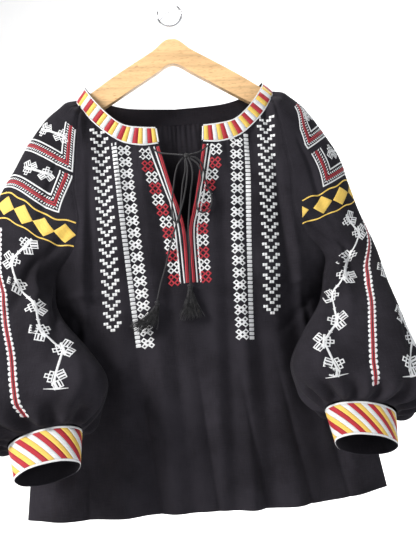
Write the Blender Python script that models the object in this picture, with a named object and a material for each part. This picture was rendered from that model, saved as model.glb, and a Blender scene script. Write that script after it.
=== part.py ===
"""An embroidered blouse on a wooden hanger, in metres, Z up, its front facing -Y.

Every piece of cloth is worked out as a thin wall from the maker's sizes below. The origin is the
inside top of the hanger's hook. A "drop" is how far down from the neck point a place is, and the
wearer's left is +X.
"""

import math

import bmesh
import bpy
import numpy as np
from mathutils import Vector

# Driving sizes
NECK_POINT_Z = -0.150      # the top of the neck band where it crosses the hanger
CLOTH = 0.0010             # cloth wall
BAND_CLOTH = 0.0018        # doubled, embroidered cloth of the band and cuffs
SEAM = 0.0005              # how far each piece stops short of a seam
NECK_SEAM = 0.0014         # the same below the neck band
BODY_DROP = 0.643          # neck point to hem at the centre
SLIT_END_DROP = 0.240      # where the slit's two edges meet
CORD = 0.0026              # tie cord
WOOD_THICK = 0.0115
HOOK_WIRE = 0.0032
HOOK_INNER = 0.018

CLOTH_COLOUR = (0.021, 0.019, 0.023)
TIE_COLOUR = (0.012, 0.012, 0.014)
RED = (0.33, 0.020, 0.035)
WOOD = (0.78, 0.53, 0.29)
STEEL = (0.62, 0.62, 0.64)

# The neck, from slit to centre back
# around: place along the half neck; lower and upper edge of the band, as x, y and drop
NECK = [
    # around, low_x, low_y,  low_drop, up_x,   up_y,   up_drop
    (0.0, 0.0325, -0.0430, 0.0950, 0.0350, -0.0420, 0.0685),
    (1.0, 0.0600, -0.0445, 0.0970, 0.0600, -0.0430, 0.0670),
    (2.0, 0.0890, -0.0430, 0.0895, 0.0850, -0.0410, 0.0610),
    (3.0, 0.1120, -0.0395, 0.0730, 0.1050, -0.0370, 0.0455),
    (4.0, 0.1330, -0.0330, 0.0510, 0.1240, -0.0300, 0.0240),
    (5.0, 0.1490, -0.0230, 0.0260, 0.1360, -0.0180, 0.0050),
    (6.0, 0.1575, 0.0000, 0.0070, 0.1390, 0.0000, -0.0060),
    (7.0, 0.1500, 0.0230, 0.0170, 0.1330, 0.0190, -0.0050),
    (8.0, 0.1260, 0.0360, 0.0290, 0.1160, 0.0310, 0.0015),
    (9.0, 0.0800, 0.0435, 0.0365, 0.0760, 0.0390, 0.0090),
    (10.0, 0.0000, 0.0460, 0.0390, 0.0000, 0.0430, 0.0120),
]
# How much higher the band stands on its upper edge, as a share of each side's own height
NECK_STANDS = [(0.0, 0.0), (3.0, 0.12), (4.0, 0.45), (5.0, 0.85), (6.0, 1.0), (7.0, 0.8), (8.0, 0.35),
               (9.0, 0.08), (10.0, 0.0)]
NECK_HIGHER = {-1: 0.0100, 1: 0.0030}
FRONT_END, BACK_END = 5.0, 7.0      # the sleeve takes the neck between these
NECK_STEPS = 80

# The sleeve
# One row per section. top: the outermost point; mid: the middle of the section; deep: half its depth;
# turn: how far round it reaches each way from the top, in degrees; spread: outward on the wearer's
# right sleeve and inward on the left; tip: how far the section is tipped forward, in degrees.
SLEEVE = [
    # along, top_x, top_drop, mid_x, mid_y, mid_drop, deep,  turn, spread, tip
    (1.0, 0.1780, 0.0160, 0.1530, -0.0030, 0.0480, 0.0375, 90.0, 0.0010, 0.0),
    (2.0, 0.2030, 0.0365, 0.1570, -0.0035, 0.0770, 0.0420, 90.0, 0.0015, 0.0),
    (3.0, 0.2300, 0.0740, 0.1610, -0.0035, 0.1150, 0.0445, 90.0, 0.0030, 0.0),
    (4.0, 0.2555, 0.1180, 0.1650, -0.0035, 0.1550, 0.0455, 90.0, 0.0040, 0.0),
    (5.0, 0.2760, 0.1680, 0.1730, -0.0035, 0.1960, 0.0465, 96.0, 0.0110, 0.0),
    (6.0, 0.2865, 0.2180, 0.2040, -0.0050, 0.2360, 0.0480, 112.0, 0.0110, 0.0),
    (7.0, 0.2960, 0.2620, 0.2430, -0.0120, 0.2740, 0.0480, 142.0, 0.0080, 0.0),
    (8.0, 0.3000, 0.3050, 0.2515, -0.0240, 0.3120, 0.0480, 179.5, 0.0080, 0.0),
    (9.0, 0.3010, 0.3500, 0.2460, -0.0480, 0.3520, 0.0500, 179.6, 0.0070, 0.0),
    (10.0, 0.3070, 0.4020, 0.2310, -0.0740, 0.4010, 0.0530, 179.7, 0.0050, 0.0),
    (11.0, 0.3170, 0.4520, 0.2240, -0.0900, 0.4470, 0.0560, 179.7, 0.0045, 6.0),
    (12.0, 0.3190, 0.4900, 0.2280, -0.1000, 0.4830, 0.0530, 179.7, 0.0045, 16.0),
    (13.0, 0.3020, 0.5140, 0.2270, -0.1070, 0.5050, 0.0420, 179.6, 0.0000, 26.0),
    (14.0, 0.2665, 0.5250, 0.2170, -0.1130, 0.5170, 0.0300, 179.5, 0.0000, 33.0),
]
SLEEVE_LAST = 14.0
ARMPIT = 8.0                # the row where the sleeve closes
SLEEVE_ROWS = [0, 0.5, 1, 2, 3, 4, 5, 6, 6.6, 7.2, 8, 9, 10, 11, 12, 12.7]
GATHERED_ROWS = [13.2, 13.6, 14]        # these have twice the columns
SLEEVE_COLUMNS = 28
CUFF_GATHERS = 14
CUFF_GATHER_DEEP = 0.0030
NECK_GATHER_DEEP = 0.0016

# Cuffs
CUFF_HIGH = 0.050
CUFF_RINGS = [
    # down, half_wide, deep,  tip: how far the mouth is kicked forward, in degrees
    (0.000, 0.0485, 0.0292, 33.0),
    (0.017, 0.0462, 0.0280, 34.0),
    (0.034, 0.0438, 0.0268, 35.0),
    (0.050, 0.0418, 0.0256, 36.0),
]
CUFF_COLUMNS = 32

# The body's side seams and hem
SIDE = [
    # drop, half,   seam_y, wider: outward on the wearer's left
    (0.3220, 0.1985, -0.0185, 0.000),
    (0.3370, 0.2065, -0.0010, 0.000),
    (0.3500, 0.2175, 0.0090, 0.001),
    (0.4000, 0.2400, 0.0130, 0.002),
    (0.4700, 0.2520, 0.0140, 0.004),
    (0.5600, 0.2620, 0.0090, 0.006),
    (0.6400, 0.2710, 0.0000, 0.007),
]
HEM = [
    # x,     drop
    (-0.270, 0.6400),
    (-0.190, 0.6470),
    (-0.100, 0.6440),
    (0.000, 0.6430),
    (0.110, 0.6420),
    (0.200, 0.6360),
    (0.280, 0.6270),
]
# how far the middle of the front and back stand from the hanger's plane
CENTRE = [
    # drop, front_y, back_y
    (0.0390, -0.0430, 0.0460),
    (0.0905, -0.0430, 0.0440),
    (0.1500, -0.0485, 0.0410),
    (0.3000, -0.0510, 0.0380),
    (0.4500, -0.0500, 0.0380),
    (0.6500, -0.0480, 0.0400),
]
# Soft lengthwise folds. Each runs from top_x at the neck to hem_x at the hem. The depths are how far
# it stands out (in when below nothing) under the neck, at mid height and at the hem.
FRONT_FOLDS = [
    # top_x,  hem_x,  neck,    middle,  hem,     wide
    (-0.132, -0.215, 0.0030, 0.0020, 0.0060, 0.022),
    (-0.113, -0.160, -0.0030, -0.0030, -0.0070, 0.020),
    (-0.096, -0.118, 0.0030, 0.0030, 0.0060, 0.018),
    (-0.080, -0.086, -0.0030, -0.0020, -0.0050, 0.015),
    (-0.064, -0.050, 0.0030, 0.0020, 0.0050, 0.015),
    (-0.046, -0.020, -0.0020, -0.0020, -0.0060, 0.014),
    (0.048, 0.015, -0.0020, 0.0015, 0.0050, 0.014),
    (0.062, 0.040, 0.0030, -0.0020, -0.0060, 0.014),
    (0.077, 0.068, -0.0030, 0.0030, 0.0070, 0.015),
    (0.092, 0.098, 0.0030, -0.0020, -0.0050, 0.016),
    (0.108, 0.135, -0.0030, 0.0020, 0.0060, 0.019),
    (0.124, 0.178, 0.0030, -0.0030, -0.0070, 0.022),
    (0.138, 0.222, -0.0020, 0.0020, 0.0050, 0.020),
]
BACK_FOLDS = [
    (-0.120, -0.200, 0.0030, 0.0030, 0.0060, 0.026),
    (-0.090, -0.140, -0.0030, -0.0030, -0.0060, 0.024),
    (-0.060, -0.085, 0.0030, 0.0030, 0.0060, 0.022),
    (-0.030, -0.035, -0.0030, -0.0030, -0.0060, 0.020),
    (0.000, 0.012, 0.0030, 0.0030, 0.0060, 0.020),
    (0.032, 0.060, -0.0030, -0.0030, -0.0060, 0.020),
    (0.062, 0.108, 0.0030, 0.0030, 0.0060, 0.022),
    (0.092, 0.155, -0.0030, -0.0030, -0.0060, 0.024),
    (0.120, 0.205, 0.0030, 0.0030, 0.0050, 0.026),
]
FRONT_HALF_COLUMNS = 20
PLEATED_ROWS = 3                        # the first rows of the front have twice the columns
BACK_HALF_COLUMNS = 14
BODY_ROWS = [.322, .337, .36, .40, .44, .48, .52, .56, .60, .64]     # drops below the armpit


# Small tools
def spline(rows, t):
    """The table's columns at t of its first one, on a smooth curve through the rows."""
    table = np.asarray(rows, float)
    knots, values = table[:, 0], table[:, 1:]
    slopes = np.gradient(values, knots, axis=0)
    i = int(np.clip(np.searchsorted(knots, t, side="right") - 1, 0, len(knots) - 2))
    span = knots[i + 1] - knots[i]
    u = min(max((t - knots[i]) / span, 0.0), 1.0)
    a, b = 2 * u**3 - 3 * u**2 + 1, u**3 - 2 * u**2 + u
    c, d = -2 * u**3 + 3 * u**2, u**3 - u**2
    return a * values[i] + b * span * slopes[i] + c * values[i + 1] + d * span * slopes[i + 1]


def place(x, y, drop):
    return np.array([x, y, NECK_POINT_Z - drop])


def smoothstep(low, high, value):
    u = min(max((value - low) / (high - low), 0.0), 1.0)
    return u * u * (3 - 2 * u)


def bump(distance, wide):
    return math.exp(-((distance / wide) ** 2) * 2.2)


def material(name, colour, roughness, metallic=0.0):
    made = bpy.data.materials.new(name)
    made.use_nodes = True
    shader = made.node_tree.nodes["Principled BSDF"]
    shader.inputs["Base Color"].default_value = (*colour, 1)
    shader.inputs["Roughness"].default_value = roughness
    shader.inputs["Metallic"].default_value = metallic
    return made


def add_object(name, mesh, finish):
    obj = bpy.data.objects.new(name, mesh)
    bpy.context.scene.collection.objects.link(obj)
    mesh.materials.append(finish)
    return obj


def cloth_piece(name, points, faces, finish, thick):
    """An open sheet of points given its wall, half of it on each side of the sheet."""
    mesh = bpy.data.meshes.new(name)
    mesh.from_pydata([tuple(p) for p in points], [], faces)
    mesh.update()
    obj = add_object(name, mesh, finish)
    wall = obj.modifiers.new("wall", "SOLIDIFY")
    wall.thickness = thick
    wall.offset = 0.0
    wall.use_even_offset = True
    wall.use_rim = True
    return obj


def grid_faces(rows, columns, closed=False, first=0):
    faces = []
    for r in range(rows - 1):
        for c in range(columns if closed else columns - 1):
            a, b = first + r * columns + c, first + r * columns + (c + 1) % columns
            faces.append((a, b, b + columns, a + columns))
    return faces


# Shared seams
def neck_edge(around, side, beyond=0.0):
    """A point of the neck seam; beyond is how far outside the band's lower edge it lies."""
    low_x, low_y, low_drop, up_x, up_y, up_drop = spline(NECK, around)
    low, up = place(side * low_x, low_y, low_drop), place(side * up_x, up_y, up_drop)
    out = low - up
    return low + out / np.linalg.norm(out) * beyond


def sleeve_section(row, s, side):
    """A point of a sleeve's section: s is -1 at its front seam, 0 at the top and 1 at its back seam."""
    top_x, top_drop, mid_x, mid_y, mid_drop, deep, turn, spread, tip = spline(SLEEVE, row)
    top_x -= side * spread
    mid_x -= side * spread / 2 * smoothstep(6.5, 8.0, row)
    angle, tip = math.radians(turn * s), math.radians(tip)
    fuller = 1.0 + 0.10 * smoothstep(7.0, 9.0, row) * math.sin(2 * angle) ** 2
    depth = deep * math.sin(angle) * fuller
    x = mid_x + (top_x - mid_x) * math.cos(angle) * fuller
    drop = mid_drop + (top_drop - mid_drop) * math.cos(angle) + depth * math.sin(tip)
    return place(side * x, mid_y + depth * math.cos(tip), drop)


def sleeve_point(row, s, side):
    """A point of the sleeve, which starts on the neck seam and takes up its sections by row 1."""
    first = neck_edge((FRONT_END + BACK_END) / 2 + s * (BACK_END - FRONT_END) / 2, side, NECK_SEAM)
    if row <= 0:
        return first
    if row < 1:
        section = sleeve_section(1.0, s, side)
        after = sleeve_section(1.4, s, side)
        slope = (after - section) / 0.4
        u = row
        c = -2 * u**3 + 3 * u**2
        return (1 - c) * first + c * section + (u**3 - u**2) * slope + \
            (u**3 - 2 * u**2 + u) * (section - first)
    return sleeve_section(row, s, side)


def sleeve_folded(row, s, side):
    """The same point with its gathers: fine at the neck, and deepest above the cuff."""
    here = sleeve_point(row, s, side)
    step = 0.004
    across = sleeve_point(row, min(s + step, 1), side) - sleeve_point(row, max(s - step, -1), side)
    low, high = max(row - 0.05, 0), min(row + 0.05, SLEEVE_LAST)
    along = sleeve_point(high, s, side) - sleeve_point(low, s, side)
    out = np.cross(across, along) * -side
    out = out / (np.linalg.norm(out) or 1.0)
    edge = smoothstep(0.0, 0.12, 1 - abs(s))
    cuff = smoothstep(11.0, 13.2, row) * (1 - 0.85 * smoothstep(13.2, 14.0, row))
    wave = math.sin(math.pi * CUFF_GATHERS * (s + 1) + 0.9 * math.sin(3.1 * s + side))
    neck = (1 - smoothstep(0.2, 2.6, row)) * math.sin(math.pi * 4 * (s + 1))
    long_fold = smoothstep(4.0, 9.0, row) * (1 - smoothstep(12.0, 13.5, row))
    soft = math.sin(math.pi * 3 * s + 1.3 + 0.5 * side + 0.18 * row)
    lift = edge * (CUFF_GATHER_DEEP * cuff * wave + NECK_GATHER_DEEP * neck + 0.0035 * long_fold * soft)
    return here + out * lift


def side_line(side, back):
    """The body's side edge from the neck to the hem: the raglan seam, then the side seam."""
    s = 1.0 if back else -1.0
    seam_rows = [row for row in SLEEVE_ROWS if row <= ARMPIT]
    points = [sleeve_point(row, s, side) for row in seam_rows]
    for drop in BODY_ROWS:
        half, seam_y, wider = spline(SIDE, drop)
        points.append(place(side * (half + side * wider), seam_y, drop))
    points = np.array(points)
    down = np.array([smoothstep(0.2, 1.0, min(1.0, i / len(seam_rows))) for i in range(len(points))])
    armpit = np.array([bump(i - len(seam_rows), 2.5) for i in range(len(points))])
    points[:, 0] -= side * SEAM * (1 + down + 1.5 * armpit)
    points[:, 1] += s * SEAM * (down + 1.5 * armpit)
    return points


def row_shares(edge):
    """The share of the whole drop at which each point of the side edge lies."""
    drops = NECK_POINT_Z - edge[:, 2]
    return list((drops - drops[0]) / (drops[-1] - drops[0]))


def along_line(points, share):
    """The point of a line at a share of its whole drop."""
    drops = NECK_POINT_Z - points[:, 2]
    drops = np.maximum.accumulate(drops + np.arange(len(drops)) * 1e-7)
    want = drops[0] + (drops[-1] - drops[0]) * share
    return np.array([np.interp(want, drops, points[:, k]) for k in range(3)])


def fold_lift(folds, x, drop):
    """How far the folds lift the cloth at a place."""
    down = (drop - 0.05) / (BODY_DROP - 0.05)
    lift = 0.0
    for top_x, hem_x, neck, middle, hem, wide in folds:
        centre = top_x + (hem_x - top_x) * down
        deep = (neck + (middle - neck) * smoothstep(0.0, 0.30, down)
                + (hem - middle) * smoothstep(0.35, 1.0, down))
        lift += deep * bump(x - centre, wide * (0.55 + 0.75 * down))
    return lift


class Panel:
    """The front or back: where its edges run, and how far it stands out at any place."""

    def __init__(self, back):
        self.back = back
        self.folds = BACK_FOLDS if back else FRONT_FOLDS
        self.first, self.last = (10.0, BACK_END) if back else (0.0, FRONT_END)
        self.edge = {side: side_line(side, back) for side in (-1, 1)}
        self.neck = {side: self.neck_line(side) for side in (-1, 1)}

    def neck_line(self, side):
        """The panel's top edge, which ends where its side edge starts."""
        share = np.linspace(0, 1, NECK_STEPS)
        line = np.array([neck_edge(self.first + (self.last - self.first) * a, side, NECK_SEAM)
                         for a in share])
        return line + (self.edge[side][0] - line[-1]) * share[:, None]**3

    def plain_y(self, x, drop):
        """The cloth's distance from the hanger's plane, before the neck and the folds."""
        side = -1 if x < 0 else 1
        edge = self.edge[side]
        drops = np.maximum.accumulate(NECK_POINT_Z - edge[:, 2])
        rim_x = np.interp(drop, drops, np.abs(edge[:, 0]))
        rim_y = np.interp(drop, drops, edge[:, 1])
        middle = spline(CENTRE, drop)[1 if self.back else 0]
        u = min(abs(x) / rim_x, 1.0)
        return rim_y + (middle - rim_y) * (1 - u**2.2) ** 0.75, u

    def y(self, x, drop):
        side = -1 if x < 0 else 1
        plain, u = self.plain_y(x, drop)
        neck = self.neck[side]
        neck_x = abs(x)
        neck_drop = NECK_POINT_Z - np.interp(neck_x, np.abs(neck[:, 0]), neck[:, 2])
        neck_y = np.interp(neck_x, np.abs(neck[:, 0]), neck[:, 1])
        below = drop - neck_drop
        pull = 1 - smoothstep(0.0, 0.10, below)
        if pull > 0:
            plain += (neck_y - self.plain_y(x, neck_drop)[0]) * pull
        keep = (0.1 + 0.9 * smoothstep(0.0, 0.015, below)) * smoothstep(0.0, 0.16, 1 - u)
        lift = fold_lift(self.folds, x, drop) * keep
        return plain + (lift if self.back else -lift)

    def flat(self, u, v, side):
        """x and drop at u from the centre (0) to the side (1) and v from neck to hem."""
        edge, neck = self.edge[side], self.neck[side]
        at_neck = np.array([np.interp(u, np.linspace(0, 1, NECK_STEPS), neck[:, k]) for k in (0, 2)])
        centre, corner = neck[0, [0, 2]], edge[0, [0, 2]]
        rim, foot = along_line(edge, v)[[0, 2]], edge[-1, [0, 2]]
        hem_x = foot[0] * u
        hem = np.array([hem_x, NECK_POINT_Z - spline(HEM, hem_x)[0]])
        hem[1] += (foot[1] - (NECK_POINT_Z - spline(HEM, foot[0])[0])) * u
        low = np.array([0.0, NECK_POINT_Z - spline(HEM, 0.0)[0]])
        middle = centre + (low - centre) * v
        gone = (NECK_POINT_Z - middle[1] + (centre[1] - NECK_POINT_Z)) / \
            (SLIT_END_DROP + (centre[1] - NECK_POINT_Z))
        middle[0] = 0.0 if self.back else centre[0] * max(0.0, 1 - gone) ** 0.85
        here = ((1 - v) * at_neck + v * hem + (1 - u) * middle + u * rim
                - (1 - u) * (1 - v) * centre - u * (1 - v) * corner - (1 - u) * v * low - u * v * foot)
        return here[0], NECK_POINT_Z - here[1]

    def point(self, u, v, side):
        x, drop = self.flat(u, v, side)
        if abs(x) < 1e-4:
            x = 0.0
        y = self.y(x if x else side * 1e-6, drop)
        if u >= 1:
            y = along_line(self.edge[side], v)[1]
        return place(x, y, drop)


# Cloth pieces
def spread_out(count, bias=1.35):
    """Shares from 0 to 1 that come closer together near 1."""
    return [1 - (1 - k / count) ** bias for k in range(count + 1)]


def double(shares):
    """The same shares with one more between each two."""
    fine = []
    for a, b in zip(shares, shares[1:]):
        fine += [a, (a + b) / 2]
    return fine + [shares[-1]]


def rows_to_faces(rows):
    """Faces between rows of point numbers; a row may have twice the columns of the next."""
    faces = []
    for upper, lower in zip(rows, rows[1:]):
        if len(upper) == len(lower):
            for c in range(len(upper) - 1):
                faces.append((upper[c], upper[c + 1], lower[c + 1], lower[c]))
        elif len(upper) > len(lower):
            for c in range(len(lower) - 1):
                faces.append((upper[2 * c], upper[2 * c + 1], lower[c]))
                faces.append((upper[2 * c + 1], lower[c + 1], lower[c]))
                faces.append((upper[2 * c + 1], upper[2 * c + 2], lower[c + 1]))
        else:
            for c in range(len(upper) - 1):
                faces.append((upper[c], lower[2 * c + 1], lower[2 * c]))
                faces.append((upper[c], upper[c + 1], lower[2 * c + 1]))
                faces.append((upper[c + 1], lower[2 * c + 2], lower[2 * c + 1]))
    return faces


def make_front(finish):
    """The front, as one sheet: its two halves are one below the slit."""
    panel = Panel(back=False)
    shares = spread_out(FRONT_HALF_COLUMNS)
    points, faces, centre = [], [], {}
    for side in (-1, 1):
        rows = []
        for r, v in enumerate(row_shares(panel.edge[side])):
            row = []
            for u in double(shares) if r < PLEATED_ROWS else shares:
                here = panel.point(u, v, side)
                if u == 0 and here[0] == 0:
                    if r not in centre:
                        centre[r] = len(points)
                        points.append(here)
                    row.append(centre[r])
                    continue
                row.append(len(points))
                points.append(here)
            rows.append(row)
        made = rows_to_faces(rows)
        faces += made if side < 0 else [face[::-1] for face in made]
    return cloth_piece("front", points, faces, finish, CLOTH)


def make_back(finish):
    panel = Panel(back=True)
    shares = spread_out(BACK_HALF_COLUMNS)
    across = [(-1, u) for u in reversed(shares)] + [(1, u) for u in shares[1:]]
    count = len(panel.edge[1])
    points = [panel.point(u, row_shares(panel.edge[side])[r], side)
              for r in range(count) for side, u in across]
    return cloth_piece("back", points, grid_faces(count, len(across)), finish, CLOTH)


def make_sleeve(name, side, finish):
    points, rows = [], []
    for row in SLEEVE_ROWS + GATHERED_ROWS:
        columns = SLEEVE_COLUMNS * (2 if row in GATHERED_ROWS else 1)
        rows.append(list(range(len(points), len(points) + columns + 1)))
        points += [sleeve_folded(row, -1 + 2 * c / columns, side) for c in range(columns + 1)]
    faces = rows_to_faces(rows)
    if side < 0:
        faces = [face[::-1] for face in faces]
    return cloth_piece(name, points, faces, finish, CLOTH)


def cuff_ring(side, row):
    """One ring of a cuff, its plane tipped so that the mouth looks forward."""
    top_x, top_drop, mid_x, mid_y, mid_drop, *_ = spline(SLEEVE, SLEEVE_LAST)
    down, half, deep, tip = row
    tip, first = math.radians(tip), math.radians(CUFF_RINGS[0][3])
    gone = down + SEAM + 0.0006
    slant = (top_drop - mid_drop) / (top_x - mid_x)
    points = []
    for c in range(CUFF_COLUMNS):
        angle = 2 * math.pi * c / CUFF_COLUMNS
        across, depth = half * math.cos(angle), deep * math.sin(angle)
        x = mid_x + across - 0.004 * down / CUFF_HIGH
        y = mid_y - gone * math.sin(first) + depth * math.cos(tip)
        drop = mid_drop + gone * math.cos(first) + depth * math.sin(tip) + across * slant
        points.append(place(side * x, y, drop))
    return points


def make_cuff(name, side, finish):
    points = [point for row in CUFF_RINGS for point in cuff_ring(side, row)]
    faces = grid_faces(len(CUFF_RINGS), CUFF_COLUMNS, closed=True)
    if side > 0:
        faces = [face[::-1] for face in faces]
    return cloth_piece(name, points, faces, finish, BAND_CLOTH)


def make_neck_band(finish):
    """The strip round the neck, from one edge of the slit round the back to the other."""
    stations = [0, 0.5, 1, 1.5, 2, 2.5, 3, 3.5, 4, 4.5, 5, 5.25, 5.5, 5.75, 6, 6.25, 6.5, 6.75, 7,
                7.5, 8, 8.5, 9, 9.5]
    places = [(a, -1) for a in stations] + [(10, 1)] + [(a, 1) for a in reversed(stations)]
    points = []
    for share in (0.0, 0.5, 1.0):
        for around, side in places:
            low_x, low_y, low_drop, up_x, up_y, up_drop = spline(NECK, around)
            higher = NECK_HIGHER[side] * spline(NECK_STANDS, around)[0]
            low = place(side * low_x, low_y, low_drop)
            up = place(side * (up_x + 0.3 * higher), up_y, up_drop - higher)
            points.append(up + (low - up) * share)
    faces = grid_faces(3, len(places))
    return cloth_piece("neck_band", points, faces, finish, BAND_CLOTH)


# Hanger
WOOD_EDGE = [
    # x,     top_drop, low_drop
    (0.000, -0.0880, -0.0470),
    (0.005, -0.0880, -0.0462),
    (0.030, -0.0700, -0.0310),
    (0.060, -0.0515, -0.0125),
    (0.100, -0.0265, 0.0120),
    (0.140, 0.0008, 0.0355),
    (0.170, 0.0190, 0.0530),
    (0.184, 0.0280, 0.0610),
    (0.1935, 0.0400, 0.0630),
    (0.1965, 0.0500, 0.0560),
]


def make_hanger_wood(finish):
    """Both arms in one board, cut to its outline and rounded at its edges."""
    xs = [0, 0.005, 0.018, 0.04, 0.07, 0.1, 0.13, 0.155, 0.17, 0.18, 0.188, 0.1935, 0.1965]
    top = [(x, NECK_POINT_Z - spline(WOOD_EDGE, x)[0]) for x in xs]
    low = [(x, NECK_POINT_Z - spline(WOOD_EDGE, x)[1]) for x in xs]
    outline = [(-x, z) for x, z in reversed(top[1:])] + top + list(reversed(low)) \
        + [(-x, z) for x, z in low[1:]]
    shape = bmesh.new()
    verts = [shape.verts.new((x, -WOOD_THICK / 2, z)) for x, z in outline]
    face = shape.faces.new(verts)
    pulled = bmesh.ops.extrude_face_region(shape, geom=[face])
    moved = [v for v in pulled["geom"] if isinstance(v, bmesh.types.BMVert)]
    bmesh.ops.translate(shape, verts=moved, vec=Vector((0, WOOD_THICK, 0)))
    bmesh.ops.recalc_face_normals(shape, faces=shape.faces)
    mesh = bpy.data.meshes.new("hanger_wood")
    shape.to_mesh(mesh)
    shape.free()
    obj = add_object("hanger_wood", mesh, finish)
    soft = obj.modifiers.new("rounded", "BEVEL")
    soft.width = 0.0022
    soft.segments = 1
    soft.limit_method = "ANGLE"
    soft.angle_limit = math.radians(50)
    return obj


def tube(name, points, thick, finish, resolution=2):
    """A round wire or cord along a line of points, closed at both ends."""
    data = bpy.data.curves.new(name, "CURVE")
    data.dimensions = "3D"
    data.bevel_depth = thick / 2
    data.bevel_resolution = resolution
    data.use_fill_caps = True
    data.resolution_u = 1
    data.render_resolution_u = 0
    line = data.splines.new("POLY")
    line.points.add(len(points) - 1)
    for point, here in zip(line.points, points):
        point.co = (*here, 1)
    data.materials.append(finish)
    obj = bpy.data.objects.new(name, data)
    bpy.context.scene.collection.objects.link(obj)
    return obj


def make_hanger_hook(finish):
    """The wire hook: an open ring whose inside top is the origin, bent back to a straight stem."""
    radius = HOOK_INNER + HOOK_WIRE / 2
    middle = -HOOK_INNER
    ring = [(radius * math.cos(math.radians(a)), 0, middle + radius * math.sin(math.radians(a)))
            for a in range(196, -56, -12)]
    foot = NECK_POINT_Z - spline(WOOD_EDGE, 0.0)[0] + 0.0003
    bend = [(0.0052, 0, -0.0390), (0.0018, 0, -0.0432), (0.0, 0, -0.0490), (0.0, 0, foot)]
    return tube("hanger_hook", ring + bend, HOOK_WIRE, finish)


# Ties and tassels
# Points that each cord passes: x, drop and how far it stands in front of the cloth. Where it crosses
# the slit it keeps the height of the cloth beside it.
KNOT = (0.0060, 0.1210)
KNOT_OUT = 0.0120
TIES = {
    "tie_right": [(-0.0418, 0.1045, 0.0018), (-0.0350, 0.1100, 0.0035), (-0.0271, 0.1130, 0.0060),
                  (-0.0137, 0.1160, 0.0090), (0.0019, 0.1196, 0.0134)],
    "tie_left": [(0.0405, 0.1030, 0.0018), (0.0340, 0.1090, 0.0040), (0.0250, 0.1145, 0.0075),
                 (0.0104, 0.1196, 0.0134)],
    "loop_right": [(0.0010, 0.1232, 0.0130), (-0.0040, 0.1290, 0.0130), (-0.0079, 0.1342, 0.0120),
                   (-0.0122, 0.1456, 0.0100), (-0.0165, 0.1653, 0.0090), (-0.0196, 0.1826, 0.0060),
                   (-0.0214, 0.2000, 0.0050), (-0.0215, 0.2120, 0.0050), (-0.0189, 0.2204, 0.0058),
                   (-0.0139, 0.2207, 0.0070), (-0.0106, 0.2120, 0.0080), (-0.0087, 0.1990, 0.0090),
                   (-0.0058, 0.1810, 0.0100), (-0.0030, 0.1640, 0.0108), (0.0015, 0.1480, 0.0120),
                   (0.0034, 0.1350, 0.0120), (0.0030, 0.1254, 0.0122)],
    "loop_left": [(0.0110, 0.1225, 0.0130), (0.0180, 0.1240, 0.0130), (0.0226, 0.1266, 0.0125),
                  (0.0278, 0.1338, 0.0110), (0.0313, 0.1482, 0.0085), (0.0320, 0.1600, 0.0070),
                  (0.0352, 0.1709, 0.0060), (0.0386, 0.1800, 0.0055), (0.0390, 0.1910, 0.0050),
                  (0.0366, 0.2006, 0.0045), (0.0288, 0.2077, 0.0045), (0.0190, 0.2066, 0.0050),
                  (0.0160, 0.1990, 0.0060), (0.0180, 0.1849, 0.0075), (0.0227, 0.1689, 0.0115),
                  (0.0262, 0.1530, 0.0130), (0.0220, 0.1360, 0.0155), (0.0106, 0.1250, 0.0138)],
    "tail_right": [(0.0045, 0.1251, 0.0150), (0.0058, 0.1400, 0.0170), (0.0030, 0.1606, 0.0170),
                   (-0.0010, 0.1786, 0.0155), (-0.0060, 0.1960, 0.0140), (-0.0126, 0.2140, 0.0120),
                   (-0.0201, 0.2330, 0.0095), (-0.0299, 0.2615, 0.0060), (-0.0378, 0.2877, 0.0040),
                   (-0.0454, 0.3088, 0.0045), (-0.0532, 0.3353, 0.0065)],
    "tail_left": [(0.0077, 0.1251, 0.0150), (0.0108, 0.1340, 0.0170), (0.0126, 0.1450, 0.0165),
                  (0.0116, 0.1600, 0.0140), (0.0085, 0.1734, 0.0125), (0.0060, 0.1885, 0.0115),
                  (0.0010, 0.2243, 0.0070), (0.0004, 0.2450, 0.0045), (0.0004, 0.2665, 0.0035),
                  (-0.0015, 0.2950, 0.0045), (-0.0033, 0.3140, 0.0062)],
}
CORD_STEP = 0.0076
TASSEL_HEAD = 0.0080        # the head's width
TASSEL_LONG = 0.055
TASSELS = {
    # name: the cord it ends, lean of the strands to the side, spread
    "tassel_right": ("tail_right", -0.80, 1.9),
    "tassel_left": ("tail_left", -0.06, 1.2),
}


def cord_place(panel, x, drop, out):
    """A place in front of the cloth, or of the slit's edges where the cloth is open."""
    side = -1 if x < 0 else 1
    gone = max(0.0, 1 - (drop - 0.090) / (SLIT_END_DROP - 0.090)) ** 0.85
    beside = max(abs(x), 0.0325 * gone)
    return place(x, panel.y(side * beside, drop) - CLOTH / 2 - out, drop)


def cord_line(panel, stops):
    """Evenly spaced points on one smooth curve through a cord's stops."""
    table = [(i, *cord_place(panel, *stop)) for i, stop in enumerate(stops)]
    fine = np.array([spline(table, t) for t in np.linspace(0, len(stops) - 1, 400)])
    gone = np.concatenate([[0], np.cumsum(np.linalg.norm(np.diff(fine, axis=0), axis=1))])
    count = max(5, int(gone[-1] / CORD_STEP) + 1)
    want = np.linspace(0, gone[-1], count)
    return [tuple(np.interp(w, gone, fine[:, k]) for k in range(3)) for w in want]


def make_knot(panel, finish):
    """The bow's knot, a rounded lump where the cords cross."""
    shape = bmesh.new()
    bmesh.ops.create_uvsphere(shape, u_segments=12, v_segments=8, radius=1.0)
    for v in shape.verts:
        swell = 1 + 0.10 * math.cos(3 * math.atan2(v.co.z, v.co.x))
        v.co = Vector((v.co.x * 0.0044 * swell, v.co.y * 0.0030, v.co.z * 0.0040 * swell))
        v.co += Vector(cord_place(panel, *KNOT, KNOT_OUT + 0.0018))
    mesh = bpy.data.meshes.new("tie_knot")
    shape.to_mesh(mesh)
    shape.free()
    return add_object("tie_knot", mesh, finish)


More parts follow.
